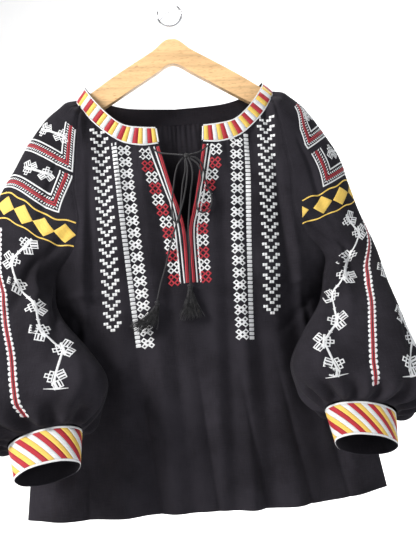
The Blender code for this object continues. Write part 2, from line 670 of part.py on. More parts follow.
def make_tassel(name, top, lean, spread, finish):
    """A turned head whose underside is pulled out into strands, each from a face of its own."""
    shape = bmesh.new()
    # each ring's width and how far down it is, in head radii
    rings = [(0.55, -0.10), (0.95, -0.45), (1.0, -0.85), (0.80, -1.15), (0.92, -1.45)]
    around = 12
    strand_half = 0.00016
    steps = 3
    radius = TASSEL_HEAD / 2
    tip = shape.verts.new((0, 0, 0))
    last = None
    for wide, down in rings:
        ring = [shape.verts.new((radius * wide * math.cos(2 * math.pi * k / around),
                                 radius * wide * math.sin(2 * math.pi * k / around),
                                 radius * down)) for k in range(around)]
        for k in range(around):
            n = (k + 1) % around
            if last is None:
                shape.faces.new((tip, ring[k], ring[n]))
            else:
                shape.faces.new((last[k], ring[k], ring[n], last[n]))
        last = ring
    floor = radius * rings[-1][1]
    inner = [shape.verts.new((v.co.x * 0.5, v.co.y * 0.5, floor)) for v in last]
    core = [inner[k] for k in range(around)]
    roots = []
    for k in range(around):
        n = (k + 1) % around
        roots.append(shape.faces.new((last[k], inner[k], inner[n], last[n])))
    heart = shape.verts.new((0, 0, floor))
    for k in range(0, around, 2):
        roots.append(shape.faces.new((core[k], heart, core[(k + 2) % around], core[k + 1])))
    shape.normal_update()
    bmesh.ops.inset_individual(shape, faces=roots, thickness=strand_half)
    for i, root in enumerate(roots):
        at = root.calc_center_median()
        turn = math.atan2(at.y, at.x)
        reach = math.hypot(at.x, at.y) / radius
        wander = math.sin(i * 2.4) * 0.12
        face = root
        for step in range(1, steps + 1):
            share = step / steps
            pulled = bmesh.ops.extrude_face_region(shape, geom=[face])
            verts = [v for v in pulled["geom"] if isinstance(v, bmesh.types.BMVert)]
            bmesh.ops.delete(shape, geom=[face], context="FACES_ONLY")
            face = [f for f in pulled["geom"] if isinstance(f, bmesh.types.BMFace)][0]
            long = TASSEL_LONG * (0.92 + 0.08 * math.cos(i * 1.7)) / steps
            out = spread * reach * long * (0.16 + 0.30 * share)
            move = Vector((out * math.cos(turn + wander) + lean * long * share,
                           0.14 * out * math.sin(turn + wander) - 0.03 * long,
                           -long * math.sqrt(max(0.2, 1 - (lean * share) ** 2 * 0.7))))
            bmesh.ops.translate(shape, verts=verts, vec=move)
    bmesh.ops.recalc_face_normals(shape, faces=shape.faces)
    mesh = bpy.data.meshes.new(name)
    bmesh.ops.translate(shape, verts=shape.verts, vec=Vector(top))
    shape.to_mesh(mesh)
    shape.free()
    return add_object(name, mesh, finish)


# Build
def main():
    for obj in list(bpy.data.objects):
        bpy.data.objects.remove(obj, do_unlink=True)
    black = {name: material(name, CLOTH_COLOUR, 0.85) for name in
             ("front_cloth", "back_cloth", "sleeve_left_cloth", "sleeve_right_cloth")}
    band = {name: material(name, RED, 0.7) for name in ("band_cloth", "cuff_left_cloth", "cuff_right_cloth")}
    cord = material("tie_cord", TIE_COLOUR, 0.7)
    make_front(black["front_cloth"])
    make_back(black["back_cloth"])
    make_sleeve("sleeve_left", 1, black["sleeve_left_cloth"])
    make_sleeve("sleeve_right", -1, black["sleeve_right_cloth"])
    make_neck_band(band["band_cloth"])
    make_cuff("cuff_left", 1, band["cuff_left_cloth"])
    make_cuff("cuff_right", -1, band["cuff_right_cloth"])
    make_hanger_wood(material("hanger_beech", WOOD, 0.45))
    make_hanger_hook(material("hook_steel", STEEL, 0.25, 1.0))
    panel = Panel(back=False)
    lines = {name: cord_line(panel, stops) for name, stops in TIES.items()}
    for name, line in lines.items():
        tube(name, line, CORD, cord)
    make_knot(panel, material("knot_cord", TIE_COLOUR, 0.7))
    for name, (cord_name, lean, spread) in TASSELS.items():
        end = np.array(lines[cord_name][-1])
        along = end - np.array(lines[cord_name][-2])
        top = end + along / np.linalg.norm(along) * 0.0003
        make_tassel(name, top, lean, spread, material(name + "_thread", TIE_COLOUR, 0.8))


main()
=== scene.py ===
import math

import bmesh
import bpy
import numpy as np
from mathutils import Matrix, Vector


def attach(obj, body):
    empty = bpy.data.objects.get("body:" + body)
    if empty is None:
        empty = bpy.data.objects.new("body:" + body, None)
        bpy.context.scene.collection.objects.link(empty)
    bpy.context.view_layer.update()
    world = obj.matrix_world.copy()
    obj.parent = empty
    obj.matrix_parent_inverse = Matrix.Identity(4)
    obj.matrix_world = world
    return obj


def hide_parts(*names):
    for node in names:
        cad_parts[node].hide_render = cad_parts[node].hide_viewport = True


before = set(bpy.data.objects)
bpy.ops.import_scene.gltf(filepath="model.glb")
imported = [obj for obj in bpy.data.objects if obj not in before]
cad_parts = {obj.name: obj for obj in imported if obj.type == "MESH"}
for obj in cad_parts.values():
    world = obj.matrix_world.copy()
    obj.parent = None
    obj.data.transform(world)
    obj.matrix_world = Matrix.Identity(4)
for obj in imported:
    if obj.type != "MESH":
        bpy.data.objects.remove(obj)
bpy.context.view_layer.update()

# Sizes of the blouse, in metres. A drop is measured down from the neck point. +X is the wearer's left.
NECK_POINT_Z = -0.150
BODY_DROP = 0.643
SLIT_END_DROP = 0.240
NECK_SEAM = -0.0012
CLOTH = 0.0005              # the cloth's thickness
CLOTH_SOLID = 0.0010        # the wall of the solid that it stands for
BAND_CLOTH = 0.0016
BAND_HIGH = 0.027

# The band round the neck: place along the half neck, then its lower and upper edge
NECK = [
    # around, low_x, low_y,  low_drop, up_x,   up_y,   up_drop
    (0.0, 0.0325, -0.0430, 0.0950, 0.0350, -0.0420, 0.0685),
    (1.0, 0.0600, -0.0445, 0.0970, 0.0600, -0.0430, 0.0670),
    (2.0, 0.0890, -0.0430, 0.0895, 0.0850, -0.0410, 0.0610),
    (3.0, 0.1120, -0.0395, 0.0730, 0.1050, -0.0370, 0.0455),
    (4.0, 0.1330, -0.0330, 0.0510, 0.1240, -0.0300, 0.0240),
    (5.0, 0.1490, -0.0230, 0.0260, 0.1360, -0.0180, 0.0050),
    (6.0, 0.1575, 0.0000, 0.0070, 0.1390, 0.0000, -0.0060),
    (7.0, 0.1500, 0.0230, 0.0170, 0.1330, 0.0190, -0.0050),
    (8.0, 0.1260, 0.0360, 0.0290, 0.1160, 0.0310, 0.0015),
    (9.0, 0.0800, 0.0435, 0.0365, 0.0760, 0.0390, 0.0090),
    (10.0, 0.0000, 0.0460, 0.0390, 0.0000, 0.0430, 0.0120),
]

# How much higher the band stands on its upper edge, as a share of each side's own height
NECK_STANDS = [(0.0, 0.0), (3.0, 0.12), (4.0, 0.45), (5.0, 0.85), (6.0, 1.0), (7.0, 0.8), (8.0, 0.35),
               (9.0, 0.08), (10.0, 0.0)]
NECK_HIGHER = {-1: 0.0100, 1: 0.0030}
FRONT_END, BACK_END = 5.0, 7.0

# The sleeve's sections: outermost point, middle, half depth, how far round it reaches each way, how
# much it spreads and how far it tips forward
SLEEVE = [
    # along, top_x, top_drop, mid_x, mid_y, mid_drop, deep,  turn, spread, tip
    (1.0, 0.1780, 0.0160, 0.1530, -0.0030, 0.0480, 0.0375, 90.0, 0.0010, 0.0),
    (2.0, 0.2030, 0.0365, 0.1570, -0.0035, 0.0770, 0.0420, 90.0, 0.0015, 0.0),
    (3.0, 0.2300, 0.0740, 0.1610, -0.0035, 0.1150, 0.0445, 90.0, 0.0030, 0.0),
    (4.0, 0.2555, 0.1180, 0.1650, -0.0035, 0.1550, 0.0455, 90.0, 0.0040, 0.0),
    (5.0, 0.2760, 0.1680, 0.1730, -0.0035, 0.1960, 0.0465, 96.0, 0.0110, 0.0),
    (6.0, 0.2865, 0.2180, 0.2040, -0.0050, 0.2360, 0.0480, 112.0, 0.0110, 0.0),
    (7.0, 0.2960, 0.2620, 0.2430, -0.0120, 0.2740, 0.0480, 142.0, 0.0080, 0.0),
    (8.0, 0.3000, 0.3050, 0.2515, -0.0240, 0.3120, 0.0480, 179.5, 0.0080, 0.0),
    (9.0, 0.3010, 0.3500, 0.2460, -0.0480, 0.3520, 0.0500, 179.6, 0.0070, 0.0),
    (10.0, 0.3070, 0.4020, 0.2310, -0.0740, 0.4010, 0.0530, 179.7, 0.0050, 0.0),
    (11.0, 0.3170, 0.4520, 0.2240, -0.0900, 0.4470, 0.0560, 179.7, 0.0045, 6.0),
    (12.0, 0.3190, 0.4900, 0.2280, -0.1000, 0.4830, 0.0530, 179.7, 0.0045, 16.0),
    (13.0, 0.3020, 0.5140, 0.2270, -0.1070, 0.5050, 0.0420, 179.6, 0.0000, 26.0),
    (14.0, 0.2665, 0.5250, 0.2170, -0.1130, 0.5170, 0.0300, 179.5, 0.0000, 33.0),
]
SLEEVE_LAST = 14.0
ARMPIT = 8.0
CUFF_GATHERS = 14
CUFF_GATHER_DEEP = 0.0030
NECK_GATHER_DEEP = 0.0016

# Where the middle line of the cut sleeve runs, as a share of the way round: the cloth hangs turned
# forward, and the two sleeves aren't hung quite alike
MIDDLE_LINE = {
    -1: [(0.0, -0.10), (3.5, -0.22), (5.0, -0.27), (6.0, -0.30), (7.0, -0.36), (8.0, -0.40),
         (9.0, -0.41), (11.0, -0.42), (12.6, -0.46), (14.0, -0.46)],
    1: [(0.0, 0.10), (3.5, 0.22), (4.9, 0.15), (5.7, 0.00), (6.5, -0.20), (7.4, -0.36),
        (8.4, -0.42), (9.4, -0.43), (10.6, -0.45), (12.6, -0.48), (14.0, -0.48)],
}

# How far a straight row of stitches droops at 10 cm from the middle line, by its place along
DROOP = {
    -1: [(0.0, 0.000), (0.12, 0.012), (0.19, 0.034), (0.25, 0.034), (0.40, 0.000), (0.60, 0.000)],
    1: [(0.0, 0.000), (0.12, 0.010), (0.19, 0.014), (0.25, 0.012), (0.40, 0.000), (0.60, 0.000)],
}

CUFF_HIGH = 0.050
CUFF_RINGS = [
    # down, half_wide, deep,  tip
    (0.000, 0.0485, 0.0292, 33.0),
    (0.017, 0.0462, 0.0280, 34.0),
    (0.034, 0.0438, 0.0268, 35.0),
    (0.050, 0.0418, 0.0256, 36.0),
]

SIDE = [
    # drop, half,   seam_y, wider
    (0.3220, 0.2050, -0.0185, 0.000),
    (0.3370, 0.2120, -0.0010, 0.000),
    (0.3500, 0.2220, 0.0090, 0.001),
    (0.4000, 0.2400, 0.0130, 0.002),
    (0.4700, 0.2520, 0.0140, 0.004),
    (0.5600, 0.2620, 0.0090, 0.006),
    (0.6400, 0.2710, 0.0000, 0.007),
]
HEM = [
    # x,     drop
    (-0.270, 0.6480),
    (-0.190, 0.6490),
    (-0.100, 0.6440),
    (0.000, 0.6430),
    (0.110, 0.6420),
    (0.200, 0.6345),
    (0.280, 0.6235),
]
CENTRE = [
    # drop, front_y, back_y
    (0.0390, -0.0430, 0.0460),
    (0.0905, -0.0430, 0.0440),
    (0.1500, -0.0485, 0.0410),
    (0.3000, -0.0510, 0.0380),
    (0.4500, -0.0500, 0.0380),
    (0.6500, -0.0480, 0.0400),
]

# Soft lengthwise folds, from top_x at the neck to hem_x at the hem, with their height at three levels
FRONT_FOLDS = [
    # top_x,  hem_x,  neck,    middle,  hem,     wide
    (-0.132, -0.215, 0.0030, 0.0020, 0.0060, 0.022),
    (-0.113, -0.160, -0.0030, -0.0030, -0.0070, 0.020),
    (-0.096, -0.118, 0.0030, 0.0030, 0.0060, 0.018),
    (-0.080, -0.086, -0.0030, -0.0020, -0.0050, 0.015),
    (-0.064, -0.050, 0.0030, 0.0020, 0.0050, 0.015),
    (-0.046, -0.020, -0.0020, -0.0020, -0.0060, 0.014),
    (0.048, 0.015, -0.0020, 0.0015, 0.0050, 0.014),
    (0.062, 0.040, 0.0030, -0.0020, -0.0060, 0.014),
    (0.077, 0.068, -0.0030, 0.0030, 0.0070, 0.015),
    (0.092, 0.098, 0.0030, -0.0020, -0.0050, 0.016),
    (0.108, 0.135, -0.0030, 0.0020, 0.0060, 0.019),
    (0.124, 0.178, 0.0030, -0.0030, -0.0070, 0.022),
    (0.138, 0.222, -0.0020, 0.0020, 0.0050, 0.020),
]
BACK_FOLDS = [
    (-0.120, -0.200, 0.0030, 0.0030, 0.0060, 0.026),
    (-0.090, -0.140, -0.0030, -0.0030, -0.0060, 0.024),
    (-0.060, -0.085, 0.0030, 0.0030, 0.0060, 0.022),
    (-0.030, -0.035, -0.0030, -0.0030, -0.0060, 0.020),
    (0.000, 0.012, 0.0030, 0.0030, 0.0060, 0.020),
    (0.032, 0.060, -0.0030, -0.0030, -0.0060, 0.020),
    (0.062, 0.108, 0.0030, 0.0030, 0.0060, 0.022),
    (0.092, 0.155, -0.0030, -0.0030, -0.0060, 0.024),
    (0.120, 0.205, 0.0030, 0.0030, 0.0050, 0.026),
]


# Curves and seams
def spline(rows, t):
    """The table's columns at each t of its first one, on a smooth curve through the rows."""
    table = np.asarray(rows, float)
    knots, values = table[:, 0], table[:, 1:]
    slopes = np.gradient(values, knots, axis=0)
    t = np.clip(np.asarray(t, float), knots[0], knots[-1])
    i = np.clip(np.searchsorted(knots, t, side="right") - 1, 0, len(knots) - 2)
    span = (knots[i + 1] - knots[i])[..., None]
    u = (t - knots[i])[..., None] / span
    return ((2 * u**3 - 3 * u**2 + 1) * values[i] + (u**3 - 2 * u**2 + u) * span * slopes[i]
            + (3 * u**2 - 2 * u**3) * values[i + 1] + (u**3 - u**2) * span * slopes[i + 1])


def columns(rows, t):
    return np.moveaxis(spline(rows, t), -1, 0)


def smooth_through(points, count):
    """A smooth curve through the points, drawn with this many."""
    table = np.column_stack([np.arange(len(points)), points])
    return spline(table, np.linspace(0, len(points) - 1, count))


def gone_along(line):
    """How far along a line each of its points lies."""
    return np.concatenate([[0], np.cumsum(np.linalg.norm(np.diff(line, axis=0), axis=1))])


def gone_across(grid):
    """The same along each row of a grid."""
    steps = np.linalg.norm(np.diff(grid, axis=1), axis=2)
    return np.concatenate([np.zeros((len(grid), 1)), np.cumsum(steps, axis=1)], axis=1)


def places_at(want, gone, line):
    """The places on a line at these distances along it."""
    return np.stack([np.interp(want, gone, line[:, k]) for k in range(line.shape[1])], axis=-1)


def place(x, y, drop):
    x, y, drop = np.broadcast_arrays(x, y, drop)
    return np.stack([x, y, NECK_POINT_Z - drop], axis=-1)


def smoothstep(low, high, value):
    u = np.clip((value - low) / (high - low), 0.0, 1.0)
    return u * u * (3 - 2 * u)


def bump(distance, wide):
    return np.exp(-((distance / wide) ** 2) * 2.2)


def unit(vectors):
    return vectors / np.maximum(np.linalg.norm(vectors, axis=-1, keepdims=True), 1e-12)


def neck_edge(around, side, beyond=0.0):
    """Points of the seam below the band; beyond is how far outside the band's lower edge they lie."""
    low_x, low_y, low_drop, up_x, up_y, up_drop = columns(NECK, around)
    low, up = place(side * low_x, low_y, low_drop), place(side * up_x, up_y, up_drop)
    return low + unit(low - up) * beyond


def sleeve_section(row, s, side):
    """Points of a sleeve's sections: s is -1 at the front seam, 0 at the top and 1 at the back seam."""
    top_x, top_drop, mid_x, mid_y, mid_drop, deep, turn, spread, tip = columns(SLEEVE, row)
    top_x = top_x - side * spread
    mid_x = mid_x - side * spread / 2 * smoothstep(6.5, 8.0, row)
    turn = np.where(row >= ARMPIT, 180.0, turn)
    angle, tip = np.radians(turn * s), np.radians(tip)
    fuller = 1.0 + 0.10 * smoothstep(7.0, 9.0, row) * np.sin(2 * angle) ** 2
    depth = deep * np.sin(angle) * fuller
    x = mid_x + (top_x - mid_x) * np.cos(angle) * fuller
    drop = mid_drop + (top_drop - mid_drop) * np.cos(angle) + depth * np.sin(tip)
    return place(side * x, mid_y + depth * np.cos(tip), drop)


def sleeve_point(row, s, side):
    """Points of the plain sleeve, which starts on the neck seam and takes up its sections by row 1."""
    row, s = np.broadcast_arrays(np.asarray(row, float), np.asarray(s, float))
    first = neck_edge((FRONT_END + BACK_END) / 2 + s * (BACK_END - FRONT_END) / 2, side, NECK_SEAM)
    one = np.ones_like(s)
    second = sleeve_section(one, s, side)
    slope = (sleeve_section(one * 1.4, s, side) - second) / 0.4
    u = np.clip(row, 0, 1)[..., None]
    c = 3 * u**2 - 2 * u**3
    start = ((1 - c) * first + c * second + (u**3 - u**2) * slope
             + (u**3 - 2 * u**2 + u) * (second - first))
    return np.where((row < 1)[..., None], start, sleeve_section(np.maximum(row, 1.0), s, side))


def sleeve_folds(row, s, side):
    """How far the sleeve's gathers and long folds lift it."""
    edge = smoothstep(0.0, 0.12, 1 - np.abs(s))
    cuff = smoothstep(11.0, 13.2, row) * (1 - 0.85 * smoothstep(13.2, 14.0, row))
    wave = np.sin(math.pi * CUFF_GATHERS * (s + 1) + 0.9 * np.sin(3.1 * s + side))
    neck = (1 - smoothstep(0.2, 2.6, row)) * np.sin(math.pi * 4 * (s + 1))
    long_fold = smoothstep(4.0, 9.0, row) * (1 - smoothstep(12.0, 13.5, row))
    soft = np.sin(math.pi * 3 * s + 1.3 + 0.5 * side + 0.18 * row)
    return edge * (CUFF_GATHER_DEEP * cuff * wave + NECK_GATHER_DEEP * neck + 0.0035 * long_fold * soft)


# Gathers and creases of the cloth, in metres
GATHER_PITCH = 0.0082       # between two gathers under the neck band
GATHER_LONG = 0.030         # how far down they fade
GATHER_DEEP = {-1: 0.0006, 1: 0.0017}     # in front, where the needlework holds the cloth flat, and behind
SEAM_DIP = 0.0009

# Creases: a soft ridge, or a trough when its height is below nothing, from one place to another
FRONT_CREASES = [
    # x0,    drop0, x1,     drop1, height,  wide
    (-0.140, 0.110, -0.150, 0.330, -0.0053, 0.011),
    (-0.152, 0.200, -0.172, 0.470, 0.0045, 0.012),
    (-0.165, 0.330, -0.205, 0.600, -0.0060, 0.013),
    (0.140, 0.110, 0.152, 0.330, -0.0053, 0.011),
    (0.158, 0.220, 0.176, 0.470, 0.0045, 0.012),
    (0.168, 0.330, 0.210, 0.600, -0.0060, 0.013),
    (-0.200, 0.330, -0.120, 0.400, -0.0030, 0.009),
    (0.200, 0.330, 0.125, 0.395, -0.0030, 0.009),
]
BACK_CREASES = [
    (-0.135, 0.080, -0.150, 0.330, -0.0030, 0.011),
    (-0.090, 0.300, -0.115, 0.640, 0.0030, 0.012),
    (-0.045, 0.180, -0.060, 0.560, -0.0030, 0.011),
    (0.004, 0.260, 0.000, 0.640, 0.0030, 0.011),
    (0.050, 0.150, 0.062, 0.520, -0.0030, 0.011),
    (0.095, 0.320, 0.122, 0.640, 0.0030, 0.012),
    (0.138, 0.080, 0.154, 0.330, -0.0030, 0.011),
    (-0.195, 0.340, -0.110, 0.420, -0.0020, 0.010),
    (0.195, 0.340, 0.120, 0.410, -0.0020, 0.010),
]

# Broad folds that hang to the hem: where the valleys between them lie at two levels, and their height
FRONT_VALLEYS = [
    # x_above, x_hem,  the fold to its right
    (-0.255, -0.262, 0.0065),
    (-0.160, -0.172, 0.0145),
    (-0.084, -0.067, 0.0145),
    (0.000, 0.0150, 0.0125),
    (0.062, 0.083, 0.0110),
    (0.120, 0.150, 0.0095),
    (0.176, 0.212, 0.0065),
    (0.250, 0.268, 0.0),
]
BACK_VALLEYS = [
    (-0.255, -0.262, 0.0050),
    (-0.172, -0.185, 0.0080),
    (-0.108, -0.122, 0.0070),
    (-0.040, -0.052, 0.0085),
    (0.036, 0.030, 0.0080),
    (0.100, 0.118, 0.0080),
    (0.168, 0.196, 0.0055),
    (0.250, 0.268, 0.0),
]
VALLEYS_FROM, VALLEYS_AT, VALLEYS_HEM = 0.36, 0.45, 0.645
VALLEY_DEEP = 0.0045        # how far the valleys lie behind the plain cloth

# Creases of a sleeve, by their place along it (its section) and round it (s)
SLEEVE_CREASES = [
    # along0, s0,  along1, s1,    height,  wide
    (5.6, -0.95, 8.8, -0.42, -0.0075, 0.35),
    (6.4, -0.80, 9.4, -0.58, 0.0053, 0.30),
    (7.6, -0.98, 10.2, -0.62, -0.0060, 0.30),
    (6.0, 0.85, 9.0, 0.40, -0.0060, 0.35),
    (7.8, 0.95, 10.6, 0.55, 0.0045, 0.30),
    (9.6, -0.20, 12.4, -0.30, -0.0053, 0.30),
    (9.4, 0.20, 12.6, 0.12, 0.0045, 0.30),
    (10.2, -0.72, 12.6, -0.66, 0.0045, 0.28),
    (3.0, -0.80, 6.0, -0.70, -0.0045, 0.30),
    (2.8, 0.80, 5.8, 0.66, -0.0045, 0.30),
]


def crease_lift(creases, across, along, stretch=1.0):
    """The height of all the creases at a place; stretch makes one unit across as long as one along."""
    lift = 0.0
    for a0, b0, a1, b1, high, wide in creases:
        run, rise = (a1 - a0) * stretch, b1 - b0
        share = ((across - a0) * stretch * run + (along - b0) * rise) / (run**2 + rise**2)
        near = np.clip(share, 0.0, 1.0)
        away = np.hypot((across - a0) * stretch - near * run, along - b0 - near * rise)
        swell = np.sin(math.pi * np.clip(near * 0.86 + 0.07, 0.0, 1.0)) ** 0.7
        lift = lift + high * swell * bump(away, wide * (0.8 + 0.3 * near))
    return lift


def hanging_folds(valleys, x, drop):
    """Rounded folds with a valley between each two, which grow towards the hem."""
    x, drop = np.broadcast_arrays(x, drop)
    down = (drop - VALLEYS_AT) / (VALLEYS_HEM - VALLEYS_AT)
    lift = np.zeros(x.shape)
    for (a0, a1, high), (b0, b1, _) in zip(valleys[:-1], valleys[1:]):
        left, right = a0 + (a1 - a0) * down, b0 + (b1 - b0) * down
        share = np.clip((x - left) / (right - left), 0.0, 1.0)
        lift = lift + high * (4 * share * (1 - share)) ** 0.85
    grown = smoothstep(VALLEYS_FROM, 0.54, drop)
    return grown * (0.35 + 0.65 * smoothstep(0.40, 0.60, drop)) * (lift - VALLEY_DEEP)


SLEEVE_SHARES = np.linspace(0.0, ARMPIT, 81)
BODY_FINE = 92


def side_line(side, back):
    """The body's side edge from the neck to the hem: the raglan seam, then the side seam."""
    raglan = sleeve_point(SLEEVE_SHARES, 1.0 if back else -1.0, side)
    drops = np.array([row[0] for row in SIDE[:3]] + [0.36, 0.40, 0.44, 0.48, 0.52, 0.56, 0.60, 0.64])
    half, seam_y, wider = columns(SIDE, drops)
    below = place(side * (half + side * wider), seam_y, drops)
    stops = np.concatenate([raglan[-1:], below])
    table = np.column_stack([stops[:, 2].max() - stops[:, 2], stops])
    body = spline(table, np.linspace(table[0, 0], table[-1, 0], BODY_FINE))
    return np.concatenate([raglan, body[1:]])


def fold_lift(folds, x, drop):
    """How far the lengthwise folds lift the cloth."""
    down = (drop - 0.05) / (BODY_DROP - 0.05)
    lift = np.zeros(np.broadcast(x, drop).shape)
    for top_x, hem_x, neck, middle, hem, wide in folds:
        centre = top_x + (hem_x - top_x) * down
        deep = (neck + (middle - neck) * smoothstep(0.0, 0.30, down)
                + (hem - middle) * smoothstep(0.35, 1.0, down))
        lift = lift + deep * bump(x - centre, wide * (0.55 + 0.75 * down))
    return lift


class Panel:
    """The front or the back: where its edges run, and how far it stands out at any place."""

    def __init__(self, back):
        self.back = back
        self.out = 1.0 if back else -1.0
        self.folds = BACK_FOLDS if back else FRONT_FOLDS
        self.creases = BACK_CREASES if back else FRONT_CREASES
        self.valleys = BACK_VALLEYS if back else FRONT_VALLEYS
        self.first, self.last = (10.0, BACK_END) if back else (0.0, FRONT_END)
        self.edge = {side: side_line(side, back) for side in (-1, 1)}
        self.neck = {side: self.neck_line(side) for side in (-1, 1)}

    def neck_line(self, side):
        share = np.linspace(0, 1, 80)
        line = neck_edge(self.first + (self.last - self.first) * share, side, NECK_SEAM)
        return line + (self.edge[side][0] - line[-1]) * share[:, None]**3

    def by_side(self, x, drop, function):
        x, drop = np.broadcast_arrays(np.asarray(x, float), np.asarray(drop, float))
        return np.where(x < 0, function(x, drop, -1), function(x, drop, 1))

    def plain_y(self, x, drop, side):
        """The cloth's distance from the hanger's plane, before the neck and the folds."""
        edge = self.edge[side]
        drops = np.maximum.accumulate(NECK_POINT_Z - edge[:, 2])
        rim_x = np.interp(drop, drops, np.abs(edge[:, 0]))
        rim_y = np.interp(drop, drops, edge[:, 1])
        middle = columns(CENTRE, drop)[1 if self.back else 0]
        u = np.minimum(np.abs(x) / rim_x, 1.0)
        return rim_y + (middle - rim_y) * (1 - u**2.2) ** 0.75, u

    def one_side_y(self, x, drop, side, creased=True):
        plain, u = self.plain_y(x, drop, side)
        neck = self.neck[side]
        order = np.argsort(np.abs(neck[:, 0]))
        neck_x, neck_z = np.abs(neck[order, 0]), neck[order, 2]
        neck_drop = NECK_POINT_Z - np.interp(np.abs(x), neck_x, neck_z)
        neck_y = np.interp(np.abs(x), neck_x, neck[order, 1])
        below = drop - neck_drop
        pull = 1 - smoothstep(0.0, 0.10, below)
        plain = plain + (neck_y - self.plain_y(x, neck_drop, side)[0]) * pull
        keep = (0.1 + 0.9 * smoothstep(0.0, 0.015, below)) * smoothstep(0.0, 0.16, 1 - u)
        lift = fold_lift(self.folds, x, drop) * keep
        if creased:
            lift = lift + self.fine_lift(x, drop, below, u)
        return plain + self.out * lift

    def fine_lift(self, x, drop, below, u):
        """Gathers under the band, creases, and the dip along the seams."""
        down = np.maximum(drop - 0.05, 0.0) / (BODY_DROP - 0.05)
        at_neck = x / (1 + 0.75 * down)
        wander = 0.5 * np.sin(at_neck * 61.0) + 0.35 * np.sin(at_neck * 143.0 + 1.0)
        wave = np.sin(2 * math.pi * at_neck / GATHER_PITCH + 2.2 * wander + 6.0 * drop)
        long = GATHER_LONG * (0.75 + 0.5 * np.sin(at_neck * 97.0 + 0.6))
        fade = np.exp(-np.maximum(below, 0.0) / long) * smoothstep(0.0, 0.004, below)
        rim = smoothstep(0.0, 0.05, 1 - u)
        lift = GATHER_DEEP[int(self.out)] * wave * fade * rim
        lift = lift + crease_lift(self.creases, x, drop) * rim
        lift = lift + hanging_folds(self.valleys, x, drop) * smoothstep(0.0, 0.12, 1 - u)
        lift = lift + 0.00035 * np.sin(x * 95 + 3 * np.sin(drop * 31)) * np.sin(drop * 73 + 2 * x) * rim
        return lift - SEAM_DIP * bump(1 - u, 0.016) * smoothstep(0.0, 0.01, below)

    def y(self, x, drop):
        return self.by_side(x, drop, self.one_side_y)

    def flat(self, u, v, side):
        """x and drop at u from the centre (0) to the side (1) and v from neck to hem."""
        edge, neck = self.edge[side], self.neck[side]
        shares = np.linspace(0, 1, len(neck))
        drops = NECK_POINT_Z - edge[:, 2]
        drops = np.maximum.accumulate(drops + np.arange(len(drops)) * 1e-9)
        want = drops[0] + (drops[-1] - drops[0]) * v
        rim = [np.interp(want, drops, edge[:, 0]), want]
        top = [np.interp(u, shares, neck[:, 0]), NECK_POINT_Z - np.interp(u, shares, neck[:, 2])]
        centre, corner = [neck[0, 0], NECK_POINT_Z - neck[0, 2]], [edge[0, 0], drops[0]]
        foot, low_drop = [edge[-1, 0], drops[-1]], float(columns(HEM, 0.0)[0])
        hem_x = foot[0] * u
        hem = [hem_x, columns(HEM, hem_x)[0] + (foot[1] - float(columns(HEM, foot[0])[0])) * u]
        middle_drop = centre[1] + (low_drop - centre[1]) * v
        gone = (middle_drop - centre[1]) / (SLIT_END_DROP - centre[1])
        middle_x = 0.0 * v if self.back else centre[0] * np.maximum(0.0, 1 - gone) ** 0.85
        low, middle = [0.0, low_drop], [middle_x, middle_drop]
        return [(1 - v) * top[k] + v * hem[k] + (1 - u) * middle[k] + u * rim[k]
                - (1 - u) * (1 - v) * centre[k] - u * (1 - v) * corner[k]
                - (1 - u) * v * low[k] - u * v * foot[k] for k in (0, 1)]

    def points(self, u, v, side):
        """The shown cloth at a grid of places; its last column lies on the side edge."""
        x, drop = self.flat(u, v, side)
        y = self.one_side_y(x, drop, side)
        made = place(x, y, drop)
        drops = NECK_POINT_Z - self.edge[side][:, 2]
        made[..., 1] = np.where(u >= 1, np.interp(made[..., 2] * -1 + NECK_POINT_Z,
                                                  np.maximum.accumulate(drops),
                                                  self.edge[side][:, 1]), made[..., 1])
        return made

    def ground(self, x, drop):
        """Places on the outer face of the cloth, and which way it faces there."""
        step = 0.0006
        here = place(x, self.y(x, drop), drop)
        across = place(x + step, self.y(x + step, drop), drop) - here
        down = place(x, self.y(x, drop + step), drop + step) - here
        facing = unit(np.cross(down, across)) * -self.out
        return here + facing * CLOTH / 2, facing


